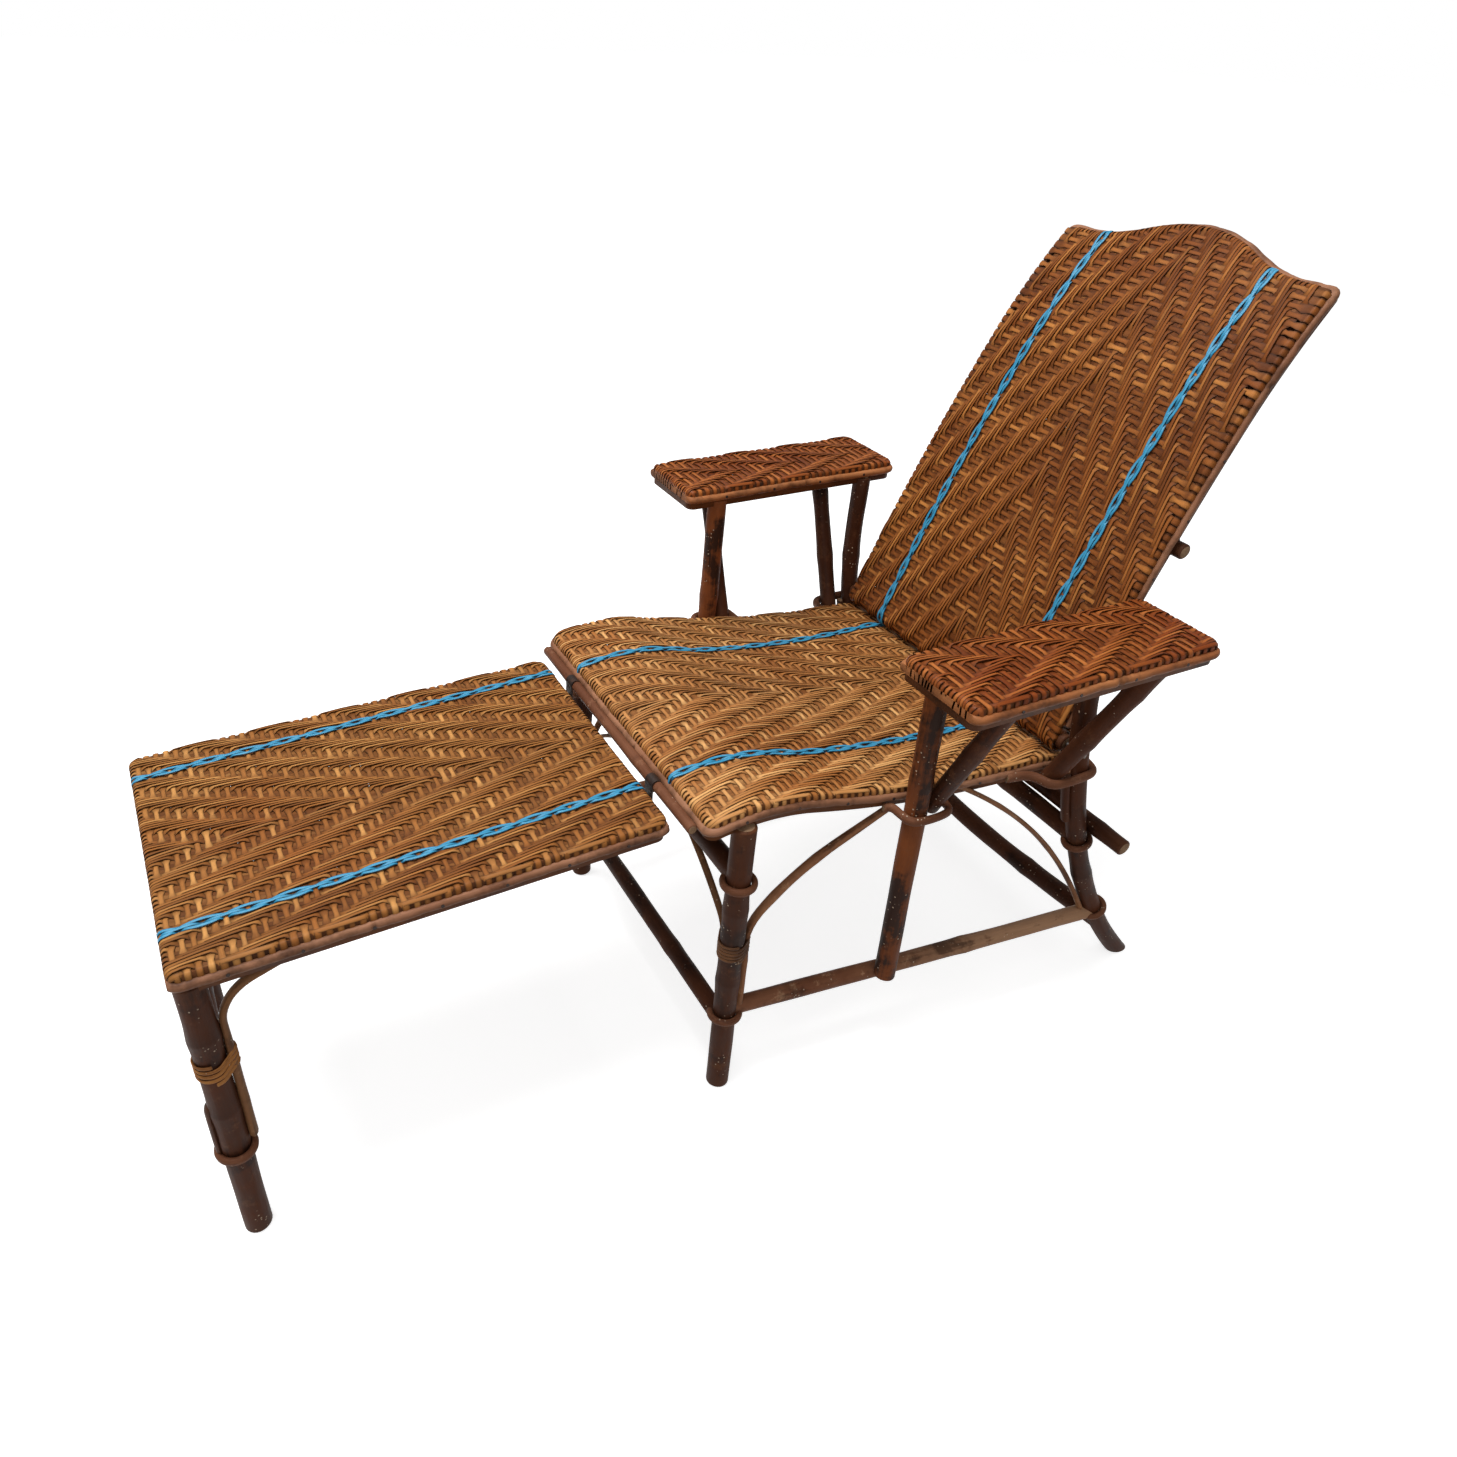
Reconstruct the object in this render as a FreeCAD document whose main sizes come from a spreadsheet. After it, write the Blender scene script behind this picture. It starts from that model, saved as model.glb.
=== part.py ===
import FreeCAD, Part
import math
import os
from types import SimpleNamespace
from FreeCAD import Placement, Rotation, Vector

# Rattan deck chair in millimetres. X runs across the chair, +Y points to the head end, +Z up.
# The floor is z = 0. The left side of the chair is at -X, the right side at +X.

sizes = {
    # seat panel, along its middle line
    "seat_half_width": 245.0,
    "seat_front": -139.0,
    "seat_rear": 392.0,
    "seat_crest_place": -65.0,
    "seat_crest_height": 491.0,
    "seat_crest_radius": 300.0,
    "seat_dip_start": 10.0,
    "seat_dip_radius": 1668.0,
    "seat_corner": 16.0,
    # woven sheets, the edges folded down round them and the strips nailed on those edges
    "weave": 6.0,
    "edge_depth": 24.0,
    "edge_width": 9.0,
    "strip_top": 9.0,
    "strip_height": 10.0,
    "strip_thickness": 5.0,
    "rail_radius": 8.0,
    "fit_gap": 0.2,
    "tack_radius": 2.0,
    "tack_height": 1.0,
    "tack_spacing": 70.0,
    # legs
    "front_leg_x": 242.0,
    "front_leg_y": -90.0,
    "front_leg_radius": 16.0,
    "rear_leg_x": 262.0,
    "rear_leg_y": 410.0,
    "rear_leg_radius": 14.0,
    "rear_leg_bend_height": 600.0,
    "rear_leg_bend_radius": 903.0,
    "rear_leg_splay": 2.77,
    # rails and stretchers between the legs
    "rail_pole_radius": 14.0,
    "front_rail_height": 382.0,
    "rear_rail_height": 284.0,
    "collar_drop": 7.0,
    "stretcher_radius": 11.0,
    "stretcher_front_height": 146.0,
    "stretcher_rear_height": 114.0,
    "cross_stretcher_radius": 12.5,
    "front_stretcher_height": 121.0,
    "rear_stretcher_height": 86.0,
    "wrap_radius": 4.0,
    "wrap_drop": 5.0,
    "wrap_lift": 6.0,
    # arms
    "arm_inner": 255.0,
    "arm_outer": 384.0,
    "arm_front": 89.0,
    "arm_rear": 465.0,
    "arm_height": 665.0,
    "arm_corner": 14.0,
    "arm_rail_radius": 7.0,
    "post_radius": 14.5,
    "post_y": 145.0,
    "post_top_x": 266.0,
    "post_foot_height": 146.0,
    "front_brace_radius": 12.0,
    "front_brace_foot_x": 268.0,
    "front_brace_foot_height": 428.0,
    "front_brace_top_x": 360.0,
    "rear_brace_radius": 13.0,
    "rear_brace_y": 387.0,
    "rear_brace_foot_x": 264.5,
    "rear_brace_foot_height": 404.0,
    "rear_brace_top_x": 367.0,
    "loop_height": 431.0,
    "rear_loop_height": 414.0,
    # thin split-cane arches
    "split_radius": 4.0,
    "arch_bend_height": 265.0,
    "side_arch_tight": 70.0,
    "side_arch_wide": 330.0,
    "face_arch_tight": 45.0,
    "face_arch_wide": 420.0,
    "rear_arch_radius": 1130.0,
    "splint_radius": 5.0,
    "splint_top": 420.0,
    "splint_foot": 330.0,
    "footrest_splint_radius": 3.5,
    "footrest_splint_foot": 166.0,
    "footrest_splint_top": 232.0,
    # cane lashings
    "lash_radius": 2.0,
    "lash_pitch": 4.6,
    "lash_turns": 5.0,
    "leg_lash_height": 242.0,
    "foot_lash_turns": 4.0,
    "foot_lash_height": 289.0,
    # back panel, from its pivot
    "pivot_y": 421.0,
    "pivot_z": 444.0,
    "pivot_pole_radius": 12.0,
    "pivot_pole_half": 250.0,
    "pin_radius": 3.0,
    "pin_play": 0.05,
    "pin_depth": 24.0,
    "back_lean": 70.0,
    "back_lower_radius": 3557.0,
    "back_lower_turn": 7.2,
    "back_upper_radius": 832.0,
    "back_upper_turn": 12.8,
    "back_foot_half": 240.5,
    "back_top_half": 216.5,
    "back_crest": 40.0,
    "back_crest_half": 178.0,
    # prop frame behind the back
    "prop_place": 290.0,
    "prop_rod_radius": 10.5,
    "prop_upper_half": 240.0,
    "prop_lower_half": 343.0,
    "prop_rest_height": 305.0,
    "prop_rest_gap": 0.35,
    "prop_strut_x": 186.0,
    "prop_strut_radius": 9.0,
    "strap_width": 14.0,
    "strap_thickness": 2.5,
    "strap_foot": 30.0,
    "strap_step": 0.5,
    "running_gap": 0.3,
    # footrest
    "footrest_half_width": 203.0,
    "footrest_foot_end": -727.0,
    "footrest_head_end": -168.0,
    "footrest_foot_height": 452.0,
    "footrest_head_height": 469.0,
    "footrest_corner": 16.0,
    "footrest_leg_x": 187.0,
    "footrest_leg_y": -708.0,
    "footrest_leg_radius": 16.5,
    "footrest_stretcher_height": 158.0,
    "footrest_brace_radius": 5.0,
    # bar and hooks that join the footrest to the seat
    "hook_bar_radius": 4.5,
    "hook_bar_y": -152.5,
    "hook_bar_z": 468.0,
    "hook_bar_half": 236.0,
    "hook_x": 126.0,
    "hook_width": 18.0,
    "hook_thickness": 2.5,
    "hook_tail": 34.0,
}

doc = FreeCAD.newDocument("rattan_deck_chair")
sheet = doc.addObject("Spreadsheet::Sheet", "Sizes")
for row, (alias, number) in enumerate(sizes.items(), start=1):
    sheet.set("A%d" % row, alias)
    sheet.set("B%d" % row, str(number))
    sheet.setAlias("B%d" % row, alias)
doc.recompute()
s = SimpleNamespace(**sizes)

x_axis = Vector(1, 0, 0)
y_axis = Vector(0, 1, 0)
z_axis = Vector(0, 0, 1)
sides = {"left": -1, "right": 1}
parts = []


# Small helpers for the document

def keep(feature, name):
    """Name a finished sub-part and list it for export."""
    feature.Label = name
    if feature.Label != name:
        raise RuntimeError("the name %s is taken" % name)
    parts.append(feature)
    return feature


def shape(name, solid):
    """A helper object that holds a wire, a face or a solid made from the sizes."""
    feature = doc.addObject("Part::Feature", name)
    feature.Shape = solid
    feature.Placement = Placement()
    return feature


def combine(kind, name, base, *tools):
    """Cut, fuse or intersect base with the tools, one after the other."""
    result = base
    for tool in tools:
        step = doc.addObject("Part::" + kind, name)
        step.Base = result
        step.Tool = tool
        result = step
    return result


def group(name, features):
    """Several separate solids in one sub-part."""
    compound = doc.addObject("Part::Compound", name)
    compound.Links = features
    return compound


def bound(feature, **formulas):
    """Bind properties of a feature to cells of the sheet."""
    for prop, formula in formulas.items():
        feature.setExpression(prop, formula)
    return feature


def pole(name, start, end, radius):
    """A straight round pole between two points."""
    rod = doc.addObject("Part::Cylinder", name)
    run = end - start
    rod.Placement = Placement(start, Rotation(z_axis, run))
    rod.Height = run.Length
    return bound(rod, Radius="Sizes." + radius)


def swept(name, wire, radius):
    """A round pole bent along a wire of tangent lines and arcs."""
    path = shape(name + "_path", wire)
    first = wire.OrderedEdges[0]
    at = first.FirstParameter
    if (first.valueAt(at) - wire.OrderedVertexes[0].Point).Length > 0.001:
        at = first.LastParameter
    heading = first.tangentAt(at)
    ring = doc.addObject("Part::Circle", name + "_ring")
    ring.Placement = Placement(first.valueAt(at), Rotation(z_axis, heading))
    bound(ring, Radius="Sizes." + radius)
    tube = doc.addObject("Part::Sweep", name)
    tube.Sections = [ring]
    tube.Spine = (path, ["Edge%d" % (i + 1) for i in range(len(path.Shape.Edges))])
    tube.Solid = True
    tube.Frenet = False
    return tube


def extruded(name, face, direction, length):
    """A face drawn out by length, half to each side of it."""
    outline = shape(name + "_outline", face)
    block = doc.addObject("Part::Extrusion", name)
    block.Base = outline
    block.DirMode = "Custom"
    block.Dir = direction
    block.LengthFwd = length
    block.Symmetric = True
    block.Solid = True
    return block


def wrap(name, centre, axis, start, turn, ring_radius):
    """The thinned end of a pole, bent round a leg: a part of a ring."""
    band = doc.addObject("Part::Torus", name)
    band.Radius1 = ring_radius
    band.Angle3 = turn
    across = axis.cross(start)
    band.Placement = Placement(centre, Rotation(start, across, axis, "ZXY"))
    return bound(band, Radius2="Sizes.wrap_radius")


# Flat paths made of tangent lines and arcs

def route(origin, across, up, start, heading, moves):
    """Edges of a path in the plane of across and up.

    Each move is (length, 0) for a line, or (radius, degrees) for an arc that turns left if positive.
    """
    def place(a, b):
        return origin + across * a + up * b

    a, b = start
    angle = math.radians(heading)
    edges = []
    for size, turn in moves:
        if turn == 0:
            end = (a + size * math.cos(angle), b + size * math.sin(angle))
            edges.append(Part.LineSegment(place(a, b), place(*end)).toShape())
        else:
            hand = math.copysign(1, turn)
            centre = (a - hand * size * math.sin(angle), b + hand * size * math.cos(angle))
            points = []
            for share in (0, 0.5, 1):
                bearing = angle + math.radians(turn) * share - hand * math.pi / 2
                points.append((centre[0] + size * math.cos(bearing), centre[1] + size * math.sin(bearing)))
            edges.append(Part.Arc(*[place(*p) for p in points]).toShape())
            end = points[-1]
            angle += math.radians(turn)
        a, b = end
    return Part.Wire(edges)


def side_route(x, start, heading, moves):
    """A path in the plane of one x."""
    return route(Vector(x, 0, 0), y_axis, z_axis, start, heading, moves)


# The woven panels share one form: a curved sheet with folded edges, open underneath

panel_reach = 1600.0


def level(profile, drop):
    """The profile of a panel's upper face, lowered by drop along its normal."""
    start, heading, moves = profile
    slope = math.radians(heading)
    lowered = (start[0] + drop * math.sin(slope), start[1] - drop * math.cos(slope))
    turns = []
    for size, turn in moves:
        if turn == 0:
            turns.append((size, 0))
        else:
            turns.append((size + math.copysign(drop, turn), turn))
    return lowered, heading, turns


def band(name, profile, top, bottom, width):
    """The slab between two levels under a profile, drawn out along X."""
    upper = side_route(0, *level(profile, top))
    lower = side_route(0, *level(profile, bottom))
    ends = [wire.OrderedVertexes for wire in (upper, lower)]
    first = Part.LineSegment(ends[0][0].Point, ends[1][0].Point).toShape()
    last = Part.LineSegment(ends[0][-1].Point, ends[1][-1].Point).toShape()
    outline = Part.Wire(Part.__sortEdges__(upper.Edges + [last] + lower.Edges + [first]))
    return extruded(name, Part.Face(outline), x_axis, width)


def rounded_plan(x_min, x_max, y_min, y_max, corner, height=0.0):
    """A rectangle with rounded corners, in plan at a height."""
    wide = x_max - x_min - 2 * corner
    long = y_max - y_min - 2 * corner
    corner_turn = (corner, 90)
    moves = [(wide, 0), corner_turn, (long, 0), corner_turn, (wide, 0), corner_turn, (long, 0), corner_turn]
    return route(z_axis * height, x_axis, y_axis, (x_min + corner, y_min), 0, moves)


def prism(name, wire, direction, length, grow=0.0, hollow=False):
    """The outline of a panel drawn out along its normal, grown by grow; hollow keeps only the margin."""
    outer = wire.makeOffset2D(grow) if grow else wire
    face = Part.Face(outer)
    if hollow:
        face = face.cut(Part.Face(wire)).Faces[0]
    return extruded(name, face, direction, length)


def panel(name, profile, outline, normal, width):
    """Sheet, folded edges and outer block of a woven panel."""
    outer = prism(name + "_plan", outline, normal, panel_reach)
    inner = prism(name + "_inside", outline, normal, panel_reach, grow=-s.edge_width)
    thick = band(name + "_thick", profile, 0, s.edge_depth, width)
    block = combine("Common", name + "_block", thick, outer)
    room = band(name + "_room", profile, s.weave, 2 * s.edge_depth, width)
    hollow = combine("Common", name + "_hollow", room, inner)
    return combine("Cut", name + "_sheet", block, hollow), block


def strip(name, profile, outline, normal, width):
    """The half-round strip nailed round a panel's edge."""
    margin = prism(name + "_margin", outline, normal, panel_reach, grow=s.strip_thickness, hollow=True)
    layer = band(name + "_layer", profile, s.strip_top, s.strip_top + s.strip_height, width)
    return combine("Common", name, layer, margin)


# Lashings: one cane wound round a leg and the splits beside it

def biarc(start, start_way, end, end_way):
    """Two tangent arcs that join two points with given directions."""
    gap = end - start
    ways = start_way + end_way
    spread = 2 * (1 - start_way.dot(end_way))
    reach = (-gap.dot(ways) + math.sqrt(gap.dot(ways) ** 2 + spread * gap.dot(gap))) / spread
    joint = (start + end + (start_way - end_way) * reach) * 0.5
    arcs = []
    for near, corner, far in ((start, start + start_way * reach, joint), (joint, end - end_way * reach, end)):
        weight = (corner - near).normalize().dot((far - near).normalize())
        middle = (near + corner * (2 * weight) + far) * (1 / (2 + 2 * weight))
        arcs.append(Part.Arc(near, middle, far).toShape())
    return arcs


def winding(name, centre, radius, turns):
    """A cane wound in turns up a vertical axis, with short straight ends."""
    def at(quarter):
        angle = quarter * math.pi / 2
        return centre + Vector(radius * math.cos(angle), radius * math.sin(angle), s.lash_pitch * quarter / 4)

    def way(quarter):
        angle = quarter * math.pi / 2
        rise = s.lash_pitch / (2 * math.pi)
        return Vector(-radius * math.sin(angle), radius * math.cos(angle), rise).normalize()

    quarters = int(round(turns * 4))
    wire_width = 2 * s.lash_radius
    edges = [Part.LineSegment(at(0) - way(0) * wire_width, at(0)).toShape()]
    for quarter in range(quarters):
        edges += biarc(at(quarter), way(quarter), at(quarter + 1), way(quarter + 1))
    end = at(quarters)
    edges.append(Part.LineSegment(end, end + way(quarters) * wire_width).toShape())
    points = [at(step / 8) for step in range(quarters * 8 + 1)]
    gaps = [(p - q).Length for i, p in enumerate(points) for q in points[i + 20:]]
    print("%s: %g turns, least gap %.2f mm" % (name, turns, min(gaps) - wire_width))
    return swept(name, Part.Wire(edges), "lash_radius")


# Points that several sub-parts share

def rear_leg_point(height):
    """The axis of the right rear leg at a height above the floor."""
    if height >= s.rear_leg_bend_height:
        return Vector(s.rear_leg_x, s.rear_leg_y, height)
    fall = s.rear_leg_bend_height - height
    back = s.rear_leg_bend_radius - math.sqrt(s.rear_leg_bend_radius ** 2 - fall ** 2)
    return Vector(s.rear_leg_x + fall * math.tan(math.radians(s.rear_leg_splay)), s.rear_leg_y + back, height)


def rear_leg_slope(height):
    """How far the rear leg leans from upright at a height, in radians."""
    return math.asin((s.rear_leg_bend_height - height) / s.rear_leg_bend_radius)


def mirrored(point, side):
    return Vector(side * point.x, point.y, point.z)


pivot = Vector(0, s.pivot_y, s.pivot_z)
lean = math.radians(s.back_lean)
back_front = s.weave + s.pivot_pole_radius + s.running_gap
back_foot = pivot + Vector(0, -math.sin(lean), math.cos(lean)) * back_front
arm_under = s.arm_height - s.edge_depth
rear_rail = rear_leg_point(s.rear_rail_height)


# Seat

seat_rise = (s.seat_front - 20 - s.seat_crest_place) / s.seat_crest_radius
seat_fall = (s.seat_dip_start - s.seat_crest_place) / s.seat_crest_radius
crest_centre = s.seat_crest_height - s.seat_crest_radius
seat_start = (s.seat_front - 20, crest_centre + s.seat_crest_radius * math.cos(math.asin(seat_rise)))
seat_heading = -math.degrees(math.asin(seat_rise))
seat_profile = (seat_start, seat_heading, [
    (s.seat_crest_radius, -seat_heading - math.degrees(math.asin(seat_fall))),
    (s.seat_dip_radius, math.degrees((s.seat_rear + 15 - s.seat_dip_start) / s.seat_dip_radius)),
])
seat_plan = rounded_plan(-s.seat_half_width, s.seat_half_width, s.seat_front, s.seat_rear, s.seat_corner)
seat_width = 2 * s.seat_half_width + 4 * s.strip_thickness


def seat_top(y):
    """Height of the seat's upper face at y."""
    if y < s.seat_dip_start:
        return crest_centre + math.sqrt(s.seat_crest_radius ** 2 - (y - s.seat_crest_place) ** 2)
    joint = crest_centre + math.sqrt(s.seat_crest_radius ** 2 - (s.seat_dip_start - s.seat_crest_place) ** 2)
    tilt = math.asin(seat_fall)
    centre_y = s.seat_dip_start + s.seat_dip_radius * math.sin(tilt)
    centre_z = joint + s.seat_dip_radius * math.cos(tilt)
    return centre_z - math.sqrt(s.seat_dip_radius ** 2 - (y - centre_y) ** 2)


def trimmed_profile(profile, cut_start, cut_end):
    """The same profile with a length taken off each end."""
    start, heading, moves = profile
    first_size, first_turn = moves[0]
    last_size, last_turn = moves[-1]
    if first_turn == 0:
        way = math.radians(heading)
        start = (start[0] + cut_start * math.cos(way), start[1] + cut_start * math.sin(way))
        if len(moves) == 1:
            return start, heading, [(first_size - cut_start - cut_end, 0)]
        return start, heading, [(first_size - cut_start, 0)] + moves[1:]
    skip = math.copysign(math.degrees(cut_start / first_size), first_turn)
    wire = side_route(0, start, heading, [(first_size, skip)])
    end = wire.OrderedVertexes[-1].Point
    short = math.copysign(math.degrees(cut_end / last_size), last_turn)
    middle = [(first_size, first_turn - skip)] + moves[1:-1] + [(last_size, last_turn - short)]
    return (end.y, end.z), heading + skip, middle


seat_sheet, seat_block = panel("seat", seat_profile, seat_plan, z_axis, seat_width)
keep(seat_sheet, "seat_panel")
keep(strip("seat_strip", seat_profile, seat_plan, z_axis, seat_width), "seat_rim")

rail_drop = s.weave + s.fit_gap + s.rail_radius
rail_inset = s.edge_width + s.fit_gap + s.rail_radius
rail_setback = s.edge_width + 5
seat_rail_profile = trimmed_profile(seat_profile, 20 + rail_setback, 15 + rail_setback)
seat_rails = []
for side in sides.values():
    rail_path = side_route(side * (s.seat_half_width - rail_inset), *level(seat_rail_profile, rail_drop))
    seat_rails.append(swept("seat_rail", rail_path, "rail_radius"))
keep(group("seat_side_rails_pair", seat_rails), "seat_side_rails")


def cross_bar(name, y, drop, radius, half):
    """A round bar across the chair under the seat."""
    height = seat_top(y) - drop
    return pole(name, Vector(-half, y, height), Vector(half, y, height), radius)


between_rails = s.seat_half_width - rail_inset - s.rail_radius - s.fit_gap
front_bar_y = s.seat_front + s.edge_width + s.rail_radius + 4
rear_bar_y = s.seat_rear - s.edge_width - s.rail_radius - 4
keep(cross_bar("seat_front_bar", front_bar_y, rail_drop + 3, "rail_radius", between_rails), "seat_front_rail")
keep(cross_bar("seat_rear_bar", rear_bar_y, rail_drop + 1, "rail_radius", between_rails), "seat_rear_rail")
bar_places = [seat_y for seat_y in (s.seat_dip_start + 40, (s.seat_dip_start + s.seat_rear) / 2 + 40)]
bars = [cross_bar("seat_bar", y, rail_drop + 1, "rail_radius", between_rails) for y in bar_places]
keep(group("seat_bars_pair", bars), "seat_cross_bars")


# Legs

def rear_leg_route(side, offset, heights):
    """A path beside the bent part of a rear leg, offset to its front, between two heights."""
    tilt = Rotation(y_axis, -side * s.rear_leg_splay)
    origin = Vector(side * s.rear_leg_x, s.rear_leg_y + s.rear_leg_bend_radius, s.rear_leg_bend_height)
    reach = s.rear_leg_bend_radius + offset
    turns = [math.degrees(rear_leg_slope(height)) for height in heights]
    first = math.radians(turns[0])
    start = (-reach * math.cos(first), -reach * math.sin(first))
    up = tilt.multVec(z_axis)
    return route(origin, y_axis, up, start, turns[0] - 90, [(reach, turns[1] - turns[0])])


under_rail = s.weave + s.fit_gap + 2 * s.rail_radius + s.fit_gap
seat_roof = band("seat_roof", seat_profile, -60, under_rail, 1200)
seat_underside = band("seat_underside", seat_profile, -60, s.edge_depth, 1200)
floor_room = shape("floor_room", Part.makeBox(1200, 2400, 200, Vector(-600, -1200, -200)))
arm_rail_under = s.arm_height - s.weave - 2 * s.arm_rail_radius - 2 * s.fit_gap
arm_roof = shape("arm_roof", Part.makeBox(1200, 1200, 200, Vector(-600, -300, arm_rail_under)))

front_legs = {}
for word, side in sides.items():
    top = Vector(side * s.front_leg_x, s.front_leg_y, s.seat_crest_height)
    foot = Vector(side * s.front_leg_x, s.front_leg_y, 0)
    front_post = pole("front_leg_pole_" + word, foot, top, "front_leg_radius")
    trimmed = combine("Cut", "front_leg_trim_" + word, front_post, seat_sheet, seat_roof)
    front_legs[word] = keep(trimmed, "front_leg_" + word)


# Arm panels with a pole bent round inside each, then the rear legs that carry them

arm_sheets = {}
hoops = []
for word, side in sides.items():
    x_low, x_high = sorted((side * s.arm_inner, side * s.arm_outer))
    arm_plan = rounded_plan(x_low, x_high, s.arm_front, s.arm_rear, s.arm_corner)
    arm_length = s.arm_rear - s.arm_front
    arm_profile = ((s.arm_front - 20, s.arm_height), 0, [(arm_length + 40, 0)])
    arm_width = 2 * s.arm_outer + 40
    arm_sheet, arm_block = panel("arm_" + word, arm_profile, arm_plan, z_axis, arm_width)
    arm_sheets[word] = keep(arm_sheet, "arm_panel_" + word)
    keep(strip("arm_strip_" + word, arm_profile, arm_plan, z_axis, arm_width), "arm_rim_" + word)

    inset = s.edge_width + s.fit_gap + s.arm_rail_radius
    hoop_height = s.arm_height - s.weave - s.fit_gap - s.arm_rail_radius
    hoop = rounded_plan(x_low + inset, x_high - inset, s.arm_front + inset, s.arm_rear - inset,
                        s.arm_corner, hoop_height)
    hoops.append(swept("arm_hoop_" + word, hoop, "arm_rail_radius"))
keep(group("arm_hoops", hoops), "arm_frames")

rear_legs = {}
splints = []
for word, side in sides.items():
    tilt = Rotation(y_axis, -side * s.rear_leg_splay)
    sweep_angle = math.degrees(math.asin((s.rear_leg_bend_height + 30) / s.rear_leg_bend_radius))
    stub = (s.arm_height - s.rear_leg_bend_height) / math.cos(math.radians(s.rear_leg_splay)) - s.weave
    origin = Vector(side * s.rear_leg_x, 0, s.rear_leg_bend_height)
    bend = route(origin, y_axis, tilt.multVec(z_axis), (s.rear_leg_y, stub), -90, [
        (stub, 0),
        (s.rear_leg_bend_radius, sweep_angle),
    ])
    long_leg = swept("rear_leg_pole_" + word, bend, "rear_leg_radius")
    trimmed = combine("Cut", "rear_leg_trim_" + word, long_leg, floor_room, arm_roof, arm_sheets[word])
    pin_bore = pole("pin_bore_" + word, Vector(0, s.pivot_y, s.pivot_z),
                    Vector(side * 400, s.pivot_y, s.pivot_z), "pin_radius")
    rear_legs[word] = keep(combine("Cut", "rear_leg_bore_" + word, trimmed, pin_bore), "rear_leg_" + word)
    beside = s.rear_leg_radius + s.splint_radius + s.fit_gap
    splint_path = rear_leg_route(side, beside, (s.splint_top, s.splint_foot))
    splints.append(swept("rear_splint_" + word, splint_path, "splint_radius"))
keep(group("rear_splints", splints), "rear_leg_splints")


# Rails and stretchers, whose thinned ends are bent round the legs

wrap_reach = s.wrap_radius + s.fit_gap / 2


def cross_pole(name, y, height, half, radius):
    return pole(name, Vector(-half, y, height), Vector(half, y, height), radius)


def end_wraps(name, leg_point, axis, radius, first, turn):
    """A pair of thinned ends round the left and right leg."""
    bands = []
    for word, side in sides.items():
        centre = mirrored(leg_point, side)
        up = mirrored(axis, side) * side
        start = mirrored(first, side)
        bands.append(wrap("%s_%s" % (name, word), centre, up, start, turn, radius + wrap_reach))
    return bands


front_leg_line = Vector(s.front_leg_x, s.front_leg_y, 0)
front_collar = front_leg_line + z_axis * (s.front_rail_height - s.collar_drop)
collar_way = Vector(-1, -0.12, 0).normalize()
rail = cross_pole("front_rail_pole", s.front_leg_y, s.front_rail_height, s.front_leg_x, "rail_pole_radius")
rail = combine("Cut", "front_rail_cut", rail, *front_legs.values())
collars = end_wraps("front_collar", front_collar, z_axis, s.front_leg_radius, collar_way, 330)
keep(combine("Fuse", "front_rail", rail, *collars), "front_cross_rail")

rear_tilt = rear_leg_slope(s.rear_rail_height)
rear_axis = Vector(0, -math.sin(rear_tilt), math.cos(rear_tilt))
rail = cross_pole("rear_rail_pole", rear_rail.y, s.rear_rail_height, rear_rail.x, "rail_pole_radius")
rail = combine("Cut", "rear_rail_cut", rail, *rear_legs.values())
rear_collar = rear_leg_point(s.rear_rail_height - s.collar_drop)
collars = end_wraps("rear_collar", rear_collar, rear_axis, s.rear_leg_radius, collar_way, 330)
keep(combine("Fuse", "rear_rail", rail, *collars), "rear_cross_rail")

stretcher = cross_pole("front_stretcher_pole", s.front_leg_y, s.front_stretcher_height,
                       s.front_leg_x, "cross_stretcher_radius")
front_stretcher = combine("Cut", "front_stretcher_trim", stretcher, *front_legs.values())
keep(front_stretcher, "front_stretcher")

rear_foot_rail = rear_leg_point(s.rear_stretcher_height)
stretcher = cross_pole("rear_stretcher_pole", rear_foot_rail.y, rear_foot_rail.z,
                       rear_foot_rail.x, "cross_stretcher_radius")
keep(combine("Cut", "rear_stretcher_trim", stretcher, *rear_legs.values()), "rear_stretcher")

stretcher_front = Vector(s.front_leg_x - 2, s.front_leg_y, s.stretcher_front_height)
stretcher_rear = rear_leg_point(s.stretcher_rear_height)
low_height = s.stretcher_rear_height + s.wrap_lift
low_tilt = rear_leg_slope(low_height)
low_axis = Vector(0, -math.sin(low_tilt), math.cos(low_tilt))
side_pole = pole("side_pole", mirrored(stretcher_front, -1), mirrored(stretcher_rear, -1), "stretcher_radius")
side_pole = combine("Cut", "side_pole_trim", side_pole, front_legs["left"], rear_legs["left"])
front_at = mirrored(front_leg_line + z_axis * (s.stretcher_front_height - s.wrap_drop), -1)
front_wrap = wrap("side_front_wrap", front_at, z_axis, y_axis, 215, s.front_leg_radius + wrap_reach)
rear_at = mirrored(rear_leg_point(low_height), -1)
rear_start = Vector(0, -math.cos(low_tilt), -math.sin(low_tilt))
rear_wrap = wrap("side_rear_wrap", rear_at, low_axis * -1, rear_start, 215, s.rear_leg_radius + wrap_reach)
side_whole = combine("Fuse", "side_whole", side_pole, front_wrap, rear_wrap)
side_mirror = doc.addObject("Part::Mirroring", "side_mirror")
side_mirror.Source = side_whole
side_mirror.Normal = x_axis
side_stretchers = {
    "left": keep(side_whole, "side_stretcher_left"),
    "right": keep(side_mirror, "side_stretcher_right"),
}


# Posts and braces under the arms

def arm_support(name, foot, top, radius, word):
    """A pole under an arm, trimmed to the arm panel and the pole inside it."""
    rod = pole(name + "_pole_" + word, foot, top, radius)
    return keep(combine("Cut", name + "_trim_" + word, rod, arm_roof, arm_sheets[word]), name + "_" + word)


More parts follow.
